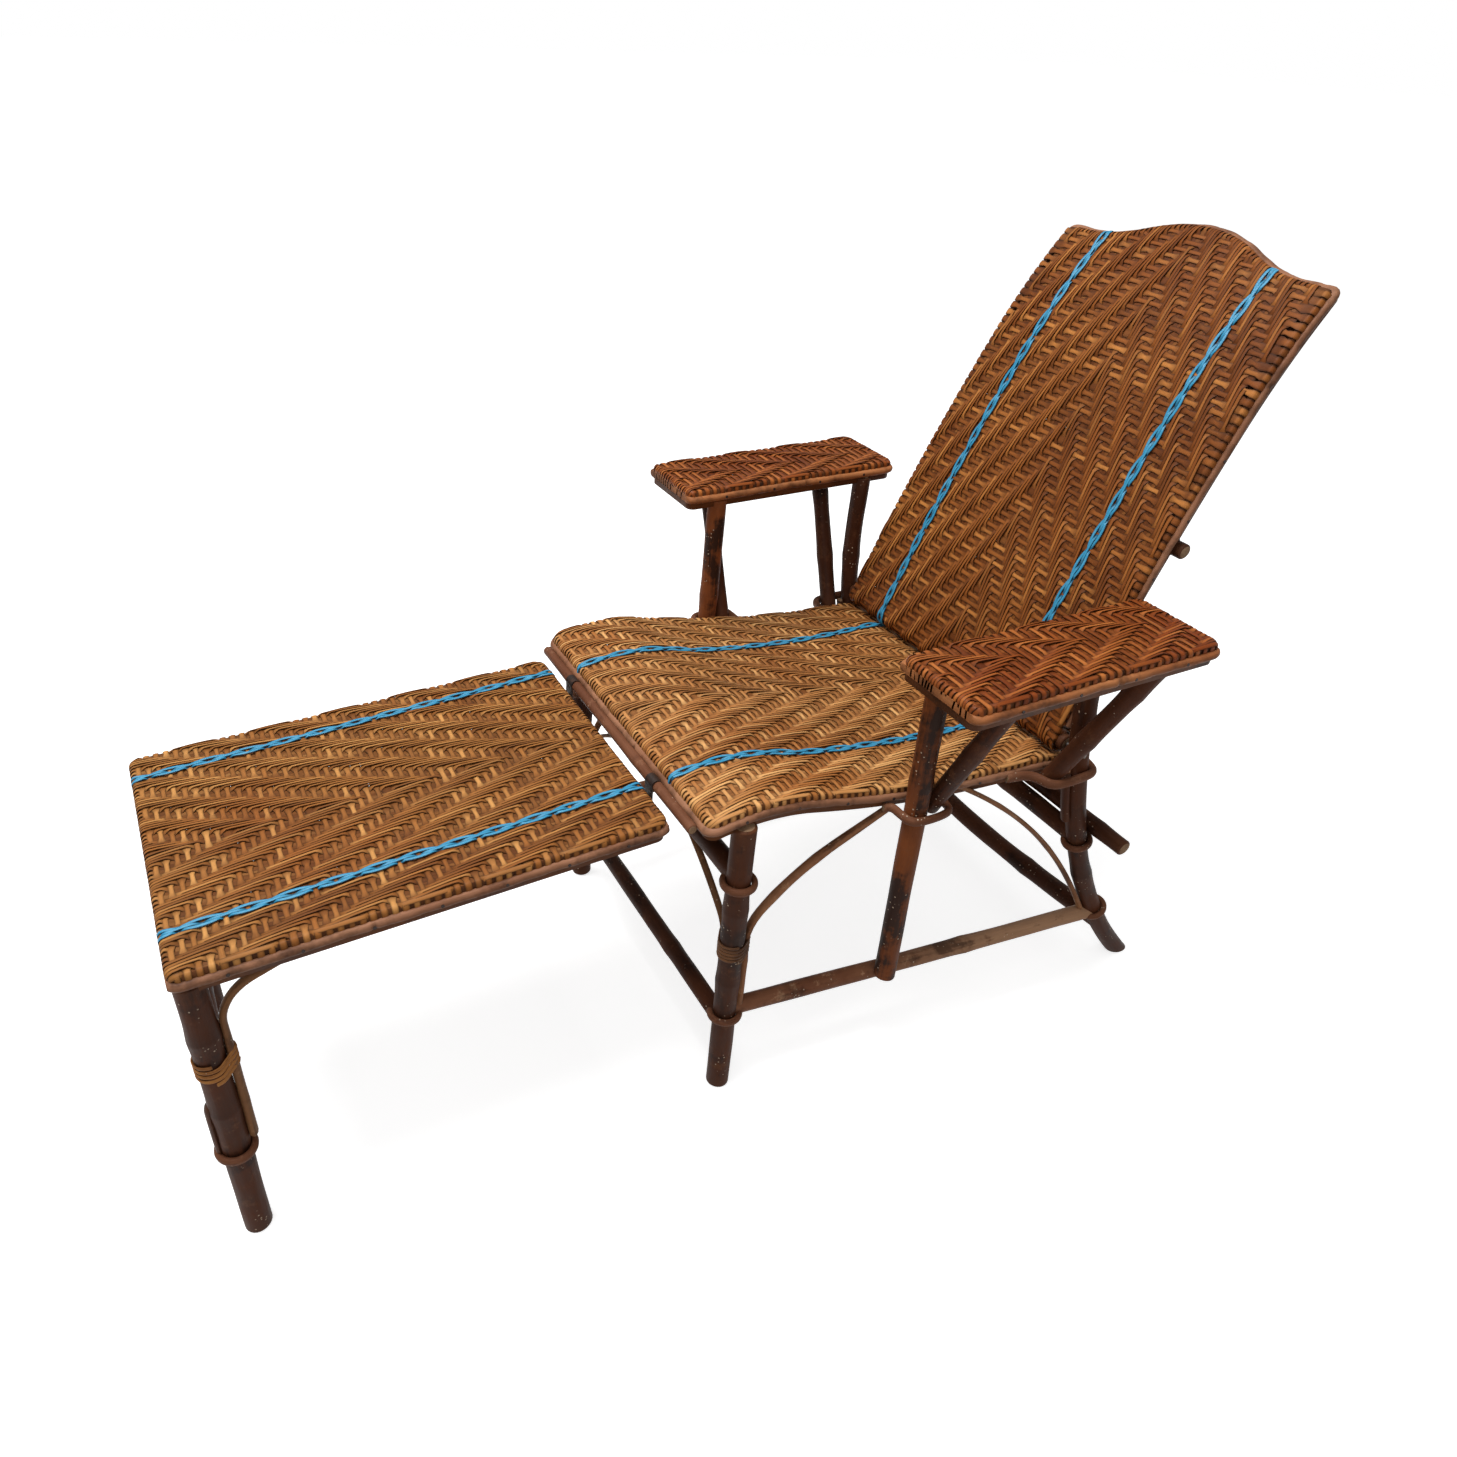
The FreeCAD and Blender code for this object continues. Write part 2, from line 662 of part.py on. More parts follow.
share = (s.post_y - stretcher_front.y) / (stretcher_rear.y - stretcher_front.y)
stretcher_here = stretcher_front + (stretcher_rear - stretcher_front) * share
post_foot_x = stretcher_here.x + s.stretcher_radius + s.post_radius + s.running_gap
front_brace_y = s.post_y + s.post_radius + s.front_brace_radius + s.running_gap
support_top = s.arm_height - s.weave
for word, side in sides.items():
    foot = Vector(side * post_foot_x, s.post_y, s.post_foot_height)
    top = Vector(side * s.post_top_x, s.post_y, support_top)
    arm_support("arm_post", foot, top, "post_radius", word)

    foot = Vector(side * s.front_brace_foot_x, front_brace_y, s.front_brace_foot_height)
    top = Vector(side * s.front_brace_top_x, front_brace_y + 4, support_top)
    arm_support("arm_front_brace", foot, top, "front_brace_radius", word)

    foot = Vector(side * s.rear_brace_foot_x, s.rear_brace_y - 3, s.rear_brace_foot_height)
    top = Vector(side * s.rear_brace_top_x, s.rear_brace_y + 7, support_top)
    arm_support("arm_rear_brace", foot, top, "rear_brace_radius", word)


# Cane loops that tie the arm posts to the seat's edge

def loop_wire(side, height, centre_x, front_y, rear_y, radius, start_x, end_x):
    """A hairpin in plan, open towards the seat."""
    out = centre_x - start_x
    back = centre_x - end_x
    moves = [(out, 0), (radius, 90), (rear_y - front_y, 0), (radius, 90), (back, 0)]
    across = x_axis * side
    return route(Vector(0, 0, height), across, y_axis, (start_x, front_y - radius), 0, moves)


rim_face = s.seat_half_width + s.strip_thickness
edge_face = s.seat_half_width + s.fit_gap
post_share = (s.loop_height - s.post_foot_height) / (support_top - s.post_foot_height)
post_x = post_foot_x + (s.post_top_x - post_foot_x) * post_share
post_hug = s.post_radius + s.wrap_radius + s.running_gap
loops = []
for word, side in sides.items():
    wire = loop_wire(side, s.loop_height, post_x, s.post_y, front_brace_y, post_hug,
                     edge_face, rim_face + s.fit_gap)
    loops.append(swept("post_loop_" + word, wire, "wrap_radius"))
keep(group("post_loop_pair", loops), "post_loops")

leg_here = rear_leg_point(s.rear_loop_height)
leg_hug = s.rear_leg_radius + s.wrap_radius + s.running_gap + 1
loops = []
for word, side in sides.items():
    wire = loop_wire(side, s.rear_loop_height, leg_here.x, s.rear_brace_y - 2, leg_here.y, leg_hug,
                     rim_face + s.fit_gap, rim_face + 8)
    loops.append(swept("rear_loop_" + word, wire, "wrap_radius"))
keep(group("rear_loop_pair", loops), "rear_loops")


# Thin split-cane arches under the seat

arch_y = s.front_leg_y + s.front_leg_radius + s.split_radius + s.fit_gap
arches = []
for word, side in sides.items():
    wire = side_route(side * s.front_leg_x, (arch_y, s.stretcher_front_height), 90, [
        (s.arch_bend_height - s.stretcher_front_height, 0),
        (s.side_arch_tight, -43),
        (s.side_arch_wide, -23),
        (100, 0),
    ])
    long_arch = swept("side_arch_" + word, wire, "split_radius")
    arches.append(combine("Cut", "side_arch_trim", long_arch, seat_underside, side_stretchers[word]))
keep(group("side_arch_pair", arches), "front_side_arches")

arches = []
arch_x = s.front_leg_x - s.front_leg_radius - s.split_radius - s.fit_gap
rail_room = cross_pole("rail_room", s.front_leg_y, s.front_rail_height, s.front_leg_x, "rail_pole_radius")
for word, side in sides.items():
    wire = route(y_axis * s.front_leg_y, x_axis * side, z_axis, (arch_x, s.front_stretcher_height), 90, [
        (s.arch_bend_height - s.front_stretcher_height, 0),
        (s.face_arch_tight, 46),
        (s.face_arch_wide, 17.5),
    ])
    long_arch = swept("face_arch_" + word, wire, "split_radius")
    arches.append(combine("Cut", "face_arch_trim", long_arch, rail_room, front_stretcher))
keep(group("face_arch_pair", arches), "front_face_arches")

arch_place = s.seat_rear - 150
arch_top = (arch_place, seat_top(arch_place) - s.edge_depth + 6)
arch_low = rear_leg_point(s.stretcher_rear_height + 14)
low_slope = rear_leg_slope(s.stretcher_rear_height + 14)
arch_end = (arch_low.y - (s.rear_leg_radius + s.split_radius) / math.cos(low_slope) - 1, arch_low.z)
chord = math.hypot(arch_end[0] - arch_top[0], arch_end[1] - arch_top[1])
half_turn = math.degrees(math.asin(chord / 2 / s.rear_arch_radius))
arch_way = math.degrees(math.atan2(arch_end[1] - arch_top[1], arch_end[0] - arch_top[0])) + half_turn
arch_x = s.seat_half_width - s.split_radius
splay = math.degrees(math.atan2(arch_low.x - arch_x, arch_top[1] - arch_end[1]))
arches = []
for word, side in sides.items():
    up = Rotation(y_axis, -side * splay).multVec(z_axis)
    origin = Vector(side * arch_x, arch_top[0], arch_top[1])
    wire = route(origin, y_axis, up, (0, 0), arch_way, [(s.rear_arch_radius, -2 * half_turn)])
    long_arch = swept("rear_arch_" + word, wire, "split_radius")
    arches.append(combine("Cut", "rear_arch_trim", long_arch, seat_underside, side_stretchers[word]))
keep(group("rear_arch_pair", arches), "rear_side_arches")


# Lashings round each front leg and its two splits

leg_r = s.front_leg_radius
split_r = s.split_radius + s.fit_gap / 2
lash_shift = 2 * leg_r * split_r / (math.sqrt(2) * (leg_r - split_r) + leg_r + split_r)
lash_inner = leg_r + lash_shift * math.sqrt(2)
lashes = []
for word, side in sides.items():
    centre = Vector(side * (s.front_leg_x - lash_shift), s.front_leg_y + lash_shift, s.leg_lash_height)
    lash_ring = lash_inner + s.lash_radius + s.running_gap
    lashes.append(winding("leg_lash_" + word, centre, lash_ring, s.lash_turns))
keep(group("leg_lashings_pair", lashes), "leg_lashings")


# Bar along the seat's front edge, which the footrest's hooks go over

bar_rest = s.seat_front - s.strip_thickness - s.hook_bar_radius - s.fit_gap
bar_bow = bar_rest - s.hook_bar_y
bar_turn = 9.0
bar_bend = 60.0
slant = bar_bow / math.sin(math.radians(bar_turn)) - 2 * bar_bend * math.tan(math.radians(bar_turn / 2))
straight = 2 * (s.hook_x + s.hook_width)
bend_run = 2 * bar_bend * math.sin(math.radians(bar_turn))
rest_run = s.hook_bar_half - straight / 2 - bend_run - slant * math.cos(math.radians(bar_turn))
bar_moves = [(rest_run, 0), (bar_bend, -bar_turn), (slant, 0), (bar_bend, bar_turn), (straight, 0),
             (bar_bend, bar_turn), (slant, 0), (bar_bend, -bar_turn), (rest_run, 0)]
bar_wire = route(Vector(0, 0, s.hook_bar_z), x_axis, y_axis, (-s.hook_bar_half, bar_rest), 0, bar_moves)
keep(swept("hook_bar_rod", bar_wire, "hook_bar_radius"), "hook_bar")


# Back: a curved woven panel wound at its foot round a pivot pole

lower_turn = s.back_lower_turn
back_moves = [(s.back_lower_radius, -lower_turn), (s.back_upper_radius, -s.back_upper_turn)]
corner_wire = side_route(0, (back_foot.y, back_foot.z), s.back_lean, back_moves)
back_corner = corner_wire.OrderedVertexes[-1].Point
back_run = back_corner - back_foot
back_height = back_run.Length
back_way = Vector(back_run).normalize()
back_normal = x_axis.cross(back_way)
back_profile = ((back_foot.y, back_foot.z), s.back_lean,
                [back_moves[0], (s.back_upper_radius, -s.back_upper_turn - 5)])
back_width = 2 * s.back_foot_half + 4 * s.strip_thickness
taper = math.atan((s.back_foot_half - s.back_top_half) / back_height)
crest_radius = (s.back_crest ** 2 + s.back_crest_half ** 2) / (4 * s.back_crest)
crest_turn = 2 * math.degrees(math.atan(s.back_crest / s.back_crest_half))
ear = 8.0
ear_turn = 90 - math.degrees(taper)
ear_reach = ear * math.tan(math.radians(ear_turn / 2))
side_length = back_height / math.cos(taper) - ear_reach
shoulder = s.back_top_half - s.back_crest_half - ear_reach
foot_edge = route(back_foot, x_axis, back_way, (-s.back_foot_half, 0), 0, [(2 * s.back_foot_half, 0)])
upper_edges = route(back_foot, x_axis, back_way, (s.back_foot_half, 0), 90 + math.degrees(taper), [
    (side_length, 0),
    (ear, ear_turn),
    (shoulder, 0),
    (crest_radius, -crest_turn),
    (crest_radius, 2 * crest_turn),
    (crest_radius, -crest_turn),
    (shoulder, 0),
    (ear, ear_turn),
    (side_length, 0),
])
back_outline = Part.Wire(Part.__sortEdges__(foot_edge.Edges + upper_edges.Edges))

pole_ends = (Vector(-s.pivot_pole_half, s.pivot_y, s.pivot_z), Vector(s.pivot_pole_half, s.pivot_y, s.pivot_z))
sleeve_ends = [Vector(side * s.back_foot_half, s.pivot_y, s.pivot_z) for side in (-1, 1)]
back_sheet, back_block = panel("back", back_profile, back_outline, back_normal, back_width)
sleeve = doc.addObject("Part::Cylinder", "sleeve")
sleeve.Placement = Placement(sleeve_ends[0], Rotation(z_axis, x_axis))
bound(sleeve, Height="2 * Sizes.back_foot_half",
      Radius="Sizes.weave + Sizes.pivot_pole_radius + Sizes.running_gap")
pole_room = doc.addObject("Part::Cylinder", "pole_room")
pole_room.Placement = Placement(pole_ends[0], Rotation(z_axis, x_axis))
bound(pole_room, Height="2 * Sizes.pivot_pole_half", Radius="Sizes.pivot_pole_radius + Sizes.running_gap")
whole_back = combine("Fuse", "back_whole", back_sheet, sleeve)
keep(combine("Cut", "back_bored", whole_back, pole_room), "back_panel")

strip_room = shape("strip_room", Part.makeCylinder(back_front + 12, 900, Vector(-450, s.pivot_y, s.pivot_z), x_axis))
back_strip = strip("back_strip", back_profile, back_outline, back_normal, back_width)
keep(combine("Cut", "back_strip_cut", back_strip, strip_room), "back_rim")

pivot_rod = pole("pivot_rod", pole_ends[0], pole_ends[1], "pivot_pole_radius")
pin_rooms = []
pins = []
for word, side in sides.items():
    inner_end = Vector(side * (s.pivot_pole_half - s.pin_depth), s.pivot_y, s.pivot_z)
    leg_x = rear_leg_point(s.pivot_z).x
    outer_end = Vector(side * (leg_x + s.rear_leg_radius), s.pivot_y, s.pivot_z)
    pins.append(pole("pin_" + word, inner_end, outer_end, "pin_radius"))
    room = pole("pin_room_" + word, inner_end - x_axis * side, outer_end, "pin_radius")
    room.setExpression("Radius", "Sizes.pin_radius + Sizes.pin_play")
    pin_rooms.append(room)
keep(combine("Cut", "pivot_rod_bored", pivot_rod, *pin_rooms), "back_pivot_pole")
keep(group("pins_pair", pins), "back_pivot_pins")

rail_moves = trimmed_profile((back_profile[0], s.back_lean, back_moves), 34, s.edge_width + 3)
for word, side in sides.items():
    start, heading, moves = level(rail_moves, rail_drop)
    turn = Rotation(back_normal, side * math.degrees(taper))
    origin = back_foot + x_axis * side * (s.back_foot_half - rail_inset / math.cos(taper) - s.fit_gap)
    start = (start[0] - back_foot.y, start[1] - back_foot.z)
    rail_path = route(origin, turn.multVec(y_axis), turn.multVec(z_axis), start, heading, moves)
    keep(swept("back_rail_" + word, rail_path, "rail_radius"), "back_side_rail_" + word)

top_level = level((back_profile[0], s.back_lean, back_moves), rail_drop)
top_here = side_route(0, *trimmed_profile(top_level, 0.01, 44)).OrderedVertexes[-1].Point
top_run = (top_here - back_foot).dot(back_way)
top_inset = (rail_inset + s.rail_radius) / math.cos(taper) + 2 * s.fit_gap
top_half = s.back_foot_half - top_run * math.tan(taper) - top_inset
keep(pole("top_rail", top_here - x_axis * top_half, top_here + x_axis * top_half, "rail_radius"), "back_top_rail")


# Prop frame: two rods and two struts, hung in straps behind the back

strap_front = s.weave + s.fit_gap + 2 * s.rail_radius + s.fit_gap
rod_drop = strap_front + s.strap_thickness + s.strap_step + s.running_gap + s.prop_rod_radius
back_line = (back_profile[0], s.back_lean, back_moves)
prop_turn = math.degrees(s.prop_place / s.back_lower_radius)
prop_line = level((back_profile[0], s.back_lean, [(s.back_lower_radius, -prop_turn)]), rod_drop)
upper_rod = side_route(0, *prop_line).OrderedVertexes[-1].Point

rest_slope = rear_leg_slope(s.prop_rest_height - 8)
rest_hug = s.rear_leg_radius + s.prop_rod_radius + s.prop_rest_gap
rest_leg = rear_leg_point(s.prop_rest_height - rest_hug * math.sin(rest_slope))
lower_rod = Vector(0, rest_leg.y + rest_hug * math.cos(rest_slope), s.prop_rest_height)
print("back pivot", pivot, "prop hinge", upper_rod, "lower rod", lower_rod)

rods = []
for name, place, half in (("upper", upper_rod, s.prop_upper_half), ("lower", lower_rod, s.prop_lower_half)):
    rod = pole("prop_pole_%s" % name, place - x_axis * half, place + x_axis * half, "prop_rod_radius")
    rods.append(keep(rod, "prop_%s_rod" % name))
struts = []
for side in sides.values():
    across = x_axis * side * s.prop_strut_x
    strut = pole("strut_pole", upper_rod + across, lower_rod + across, "prop_strut_radius")
    struts.append(combine("Cut", "strut_trim", strut, *rods))
keep(group("strut_pair", struts), "prop_struts")

strap_lean = math.radians(s.back_lean - prop_turn)
strap_up = Vector(0, math.cos(strap_lean), math.sin(strap_lean))
strap_out = Vector(0, -math.sin(strap_lean), math.cos(strap_lean))
strap_inner = s.prop_rod_radius + s.running_gap
strap_x = s.back_foot_half - rail_inset - s.prop_place * math.tan(taper)
straps = []
for side in sides.values():
    start = upper_rod + x_axis * (side * strap_x - s.strap_width / 2)
    end = start + x_axis * s.strap_width
    eye = pole("strap_eye", start, end, "prop_rod_radius")
    eye.setExpression("Radius", "Sizes.prop_rod_radius + Sizes.running_gap + Sizes.strap_thickness")
    plate = doc.addObject("Part::Box", "strap_plate")
    corner = start - strap_up * s.strap_foot + strap_out * (strap_inner + s.strap_step)
    plate.Placement = Placement(corner, Rotation(x_axis, strap_up, strap_out, "XYZ"))
    bound(plate, Length="Sizes.strap_width", Width="2 * Sizes.strap_foot", Height="Sizes.strap_thickness")
    bore = pole("strap_bore", start - x_axis, end + x_axis, "prop_rod_radius")
    bore.setExpression("Radius", "Sizes.prop_rod_radius + Sizes.running_gap")
    whole = combine("Fuse", "strap_whole", eye, plate)
    straps.append(combine("Cut", "strap_cut", whole, bore))
keep(group("straps_pair", straps), "prop_straps")


# Footrest: a flat woven panel on two legs

rest_run = s.footrest_head_end - s.footrest_foot_end
rest_tilt = math.degrees(math.atan2(s.footrest_head_height - s.footrest_foot_height, rest_run))
rest_length = rest_run / math.cos(math.radians(rest_tilt))
overrun = 20
rest_start = (s.footrest_foot_end - overrun * math.cos(math.radians(rest_tilt)),
              s.footrest_foot_height - overrun * math.sin(math.radians(rest_tilt)))
rest_profile = (rest_start, rest_tilt, [(rest_length + 2 * overrun, 0)])
rest_plan = rounded_plan(-s.footrest_half_width, s.footrest_half_width, s.footrest_foot_end,
                         s.footrest_head_end, s.footrest_corner)
rest_width = 2 * s.footrest_half_width + 4 * s.strip_thickness
rest_sheet, rest_block = panel("footrest", rest_profile, rest_plan, z_axis, rest_width)
keep(rest_sheet, "footrest_panel")
keep(strip("footrest_strip", rest_profile, rest_plan, z_axis, rest_width), "footrest_rim")


def rest_height(y):
    """Height of the footrest's upper face at y."""
    return s.footrest_foot_height + (y - s.footrest_foot_end) * math.tan(math.radians(rest_tilt))


rest_rails = []
rail_line = trimmed_profile(rest_profile, overrun + rail_setback, overrun + rail_setback)
for side in sides.values():
    wire = side_route(side * (s.footrest_half_width - rail_inset), *level(rail_line, rail_drop))
    rest_rails.append(swept("footrest_rail", wire, "rail_radius"))
keep(group("footrest_rails_pair", rest_rails), "footrest_side_rails")

rest_between = s.footrest_half_width - rail_inset - s.rail_radius - s.fit_gap
end_rails = []
middle_y = (s.footrest_foot_end + s.footrest_head_end) / 2
for y in (s.footrest_foot_end + rail_inset + 1, middle_y, s.footrest_head_end - rail_inset - 1):
    height = rest_height(y) - rail_drop - 0.1
    end_rails.append(pole("footrest_bar", Vector(-rest_between, y, height), Vector(rest_between, y, height),
                          "rail_radius"))
keep(group("footrest_bars_group", end_rails), "footrest_cross_bars")

rest_roof = band("rest_roof", rest_profile, -60, under_rail, 1200)
footrest_legs = {}
splints = []
for word, side in sides.items():
    foot = Vector(side * s.footrest_leg_x, s.footrest_leg_y, 0)
    leg = pole("footrest_leg_pole_" + word, foot, foot + z_axis * s.footrest_foot_height, "footrest_leg_radius")
    leg = combine("Cut", "footrest_leg_trim_" + word, leg, rest_sheet, rest_roof)
    footrest_legs[word] = keep(leg, "footrest_leg_" + word)
    beside = foot - y_axis * (s.footrest_leg_radius + s.footrest_splint_radius + s.fit_gap)
    splints.append(pole("footrest_splint_" + word, beside + z_axis * s.footrest_splint_foot,
                        beside + z_axis * s.footrest_splint_top, "footrest_splint_radius"))
keep(group("footrest_splint_pair", splints), "footrest_leg_splints")

leg_line = Vector(s.footrest_leg_x, s.footrest_leg_y, s.footrest_stretcher_height)
stretcher = cross_pole("footrest_stretcher_pole", s.footrest_leg_y, s.footrest_stretcher_height,
                       s.footrest_leg_x, "stretcher_radius")
stretcher = combine("Cut", "footrest_stretcher_trim", stretcher, *footrest_legs.values())
collars = end_wraps("footrest_collar", leg_line - z_axis * 5, z_axis, s.footrest_leg_radius, collar_way, 330)
keep(combine("Fuse", "footrest_stretcher_whole", stretcher, *collars), "footrest_stretcher")

# A split-cane brace runs up each footrest leg and curls out under the panel
brace_y = s.footrest_leg_y + s.footrest_leg_radius + s.footrest_brace_radius + s.fit_gap
rest_underside = band("rest_underside", rest_profile, -60, s.edge_depth, 1200)
brace_foot = s.footrest_stretcher_height + 2 * s.wrap_radius + 2
brace_bend = rest_height(brace_y) - s.edge_depth - 74
braces = []
for word, side in sides.items():
    wire = side_route(side * s.footrest_leg_x, (brace_y, brace_foot), 90, [
        (brace_bend - brace_foot, 0),
        (60.0, -70),
        (60.0, 0),
    ])
    long_brace = swept("footrest_brace_" + word, wire, "footrest_brace_radius")
    braces.append(combine("Cut", "footrest_brace_trim", long_brace, rest_underside))
keep(group("footrest_braces_pair", braces), "footrest_braces")

lashes = []
for word, side in sides.items():
    centre = Vector(side * s.footrest_leg_x, s.footrest_leg_y + s.footrest_brace_radius, s.foot_lash_height)
    ring = s.footrest_leg_radius + s.footrest_brace_radius + s.lash_radius + s.running_gap
    lashes.append(winding("footrest_lash_" + word, centre, ring, s.foot_lash_turns))
keep(group("footrest_lashings_pair", lashes), "footrest_lashings")

# Each hook is a flat strap: a tail under the panel, a riser in the gap and a curl over the bar
hook_inner = s.hook_bar_radius + s.running_gap
hook_middle = hook_inner + s.hook_thickness / 2
hook_low = rest_height(s.footrest_head_end) - s.edge_depth - s.hook_thickness / 2 - 1
corner_bend = 4.0
riser = s.hook_bar_z - hook_low - corner_bend
hooks = []
for side in sides.values():
    start_y = s.hook_bar_y - hook_middle - corner_bend - s.hook_tail
    lines = []
    for half in (-s.hook_thickness / 2, s.hook_thickness / 2):
        moves = [(s.hook_tail, 0), (corner_bend - half, 90), (riser, 0), (hook_middle + half, -190)]
        lines.append(side_route(0, (start_y, hook_low + half), 0, moves))
    ends = [line.OrderedVertexes for line in lines]
    caps = [Part.LineSegment(ends[0][i].Point, ends[1][i].Point).toShape() for i in (0, -1)]
    outline = Part.Wire(Part.__sortEdges__(lines[0].Edges + lines[1].Edges + caps))
    hook = extruded("hook", Part.Face(outline), x_axis, s.hook_width)
    bound(hook, LengthFwd="Sizes.hook_width")
    hook.Placement = Placement(x_axis * side * s.hook_x, Rotation())
    hooks.append(hook)
keep(group("hooks_pair", hooks), "footrest_hooks")


# Tacks in the strips

strip_middle = s.strip_top + s.strip_height / 2


def tack(place, outward):
    """One round tack head on the face of a strip."""
    head = doc.addObject("Part::Cylinder", "tack")
    head.Placement = Placement(place, Rotation(z_axis, outward))
    return bound(head, Radius="Sizes.tack_radius", Height="Sizes.tack_height")


def tack_places(start, end):
    """Evenly spaced places between two ends of a strip."""
    count = int((end - start) / s.tack_spacing)
    return [start + (end - start) * (index + 0.5) / count for index in range(count)]


base_tacks = []
rest_tacks = []
back_tacks = []
for side in sides.values():
    out = x_axis * side
    for y in tack_places(s.seat_front + 10, s.seat_rear - 10):
        base_tacks.append(tack(Vector(side * rim_face, y, seat_top(y) - strip_middle), out))
    for y in tack_places(s.arm_front + 20, s.arm_rear - 20):
        height = s.arm_height - strip_middle
        base_tacks.append(tack(Vector(side * (s.arm_outer + s.strip_thickness), y, height), out))
        base_tacks.append(tack(Vector(side * (s.arm_inner - s.strip_thickness), y, height), out * -1))
    for y in tack_places(s.footrest_foot_end + 20, s.footrest_head_end - 20):
        edge = side * (s.footrest_half_width + s.strip_thickness)
        rest_tacks.append(tack(Vector(edge, y, rest_height(y) - strip_middle), out))
    for run in tack_places(40, s.back_lower_radius * math.radians(s.back_lower_turn)):
        part_turn = -math.degrees(run / s.back_lower_radius)
        line = level((back_profile[0], s.back_lean, [(s.back_lower_radius, part_turn)]), strip_middle)
        place = side_route(0, *line).OrderedVertexes[-1].Point
        half = s.back_foot_half - (place - back_foot).dot(back_way) * math.tan(taper)
        half += s.strip_thickness / math.cos(taper)
        facing = out * math.cos(taper) + back_way * math.sin(taper)
        back_tacks.append(tack(place + out * half, facing))
keep(group("base_tack_group", base_tacks), "rim_tacks")
keep(group("rest_tack_group", rest_tacks), "footrest_tacks")
keep(group("back_tack_group", back_tacks), "back_tacks")


# Build, check and write every sub-part

doc.recompute()
failed = [f.Label for f in doc.Objects if "Invalid" in f.State or "Error" in f.State]
if failed:
    raise RuntimeError("not built: %s" % ", ".join(failed))
os.makedirs("parts", exist_ok=True)
for feature in parts:
    if feature.Shape.isNull() or not feature.Shape.isValid():
        raise RuntimeError("%s has no valid shape" % feature.Label)
    feature.Shape.exportStep("parts/%s.step" % feature.Label)
whole = Part.makeCompound([feature.Shape for feature in parts]).BoundBox
print("%d sub-parts, box %s" % (len(parts), whole))
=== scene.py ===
import math
import bpy
import numpy as np
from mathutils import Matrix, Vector
from mathutils.kdtree import KDTree


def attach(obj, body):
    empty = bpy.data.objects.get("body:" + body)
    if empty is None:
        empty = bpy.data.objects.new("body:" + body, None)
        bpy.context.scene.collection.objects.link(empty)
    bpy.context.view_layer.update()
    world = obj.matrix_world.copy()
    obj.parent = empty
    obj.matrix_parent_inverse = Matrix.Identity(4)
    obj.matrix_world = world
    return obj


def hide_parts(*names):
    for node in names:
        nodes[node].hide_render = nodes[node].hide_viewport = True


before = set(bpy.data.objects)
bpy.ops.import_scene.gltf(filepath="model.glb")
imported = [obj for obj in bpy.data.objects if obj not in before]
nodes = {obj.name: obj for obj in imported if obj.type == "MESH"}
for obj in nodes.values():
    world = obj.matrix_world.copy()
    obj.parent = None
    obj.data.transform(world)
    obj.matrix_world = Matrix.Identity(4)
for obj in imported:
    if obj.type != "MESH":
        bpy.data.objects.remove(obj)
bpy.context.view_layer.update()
mm = 0.001
print("frame loaded:", len(nodes), "nodes")


# Shader maths written as plain expressions on sockets

class Wire:
    def __init__(self, finish, socket):
        self.finish = finish
        self.socket = socket

    def maths(self, operation, *values):
        return self.finish.node("ShaderNodeMath", {"operation": operation}, dict(enumerate(values)))

    def __add__(self, other):
        return self.maths("ADD", self, other)

    def __radd__(self, other):
        return self.maths("ADD", other, self)

    def __sub__(self, other):
        return self.maths("SUBTRACT", self, other)

    def __rsub__(self, other):
        return self.maths("SUBTRACT", other, self)

    def __mul__(self, other):
        return self.maths("MULTIPLY", self, other)

    def __rmul__(self, other):
        return self.maths("MULTIPLY", other, self)

    def __pow__(self, other):
        return self.maths("POWER", self, other)

    def __abs__(self):
        return self.maths("ABSOLUTE", self)


def paint(red, green, blue):
    # screen colour 0-255 to the linear colour that the shader wants
    parts = [part / 255 for part in (red, green, blue)]
    return tuple(p / 12.92 if p <= 0.04045 else ((p + 0.055) / 1.055) ** 2.4 for p in parts) + (1.0,)


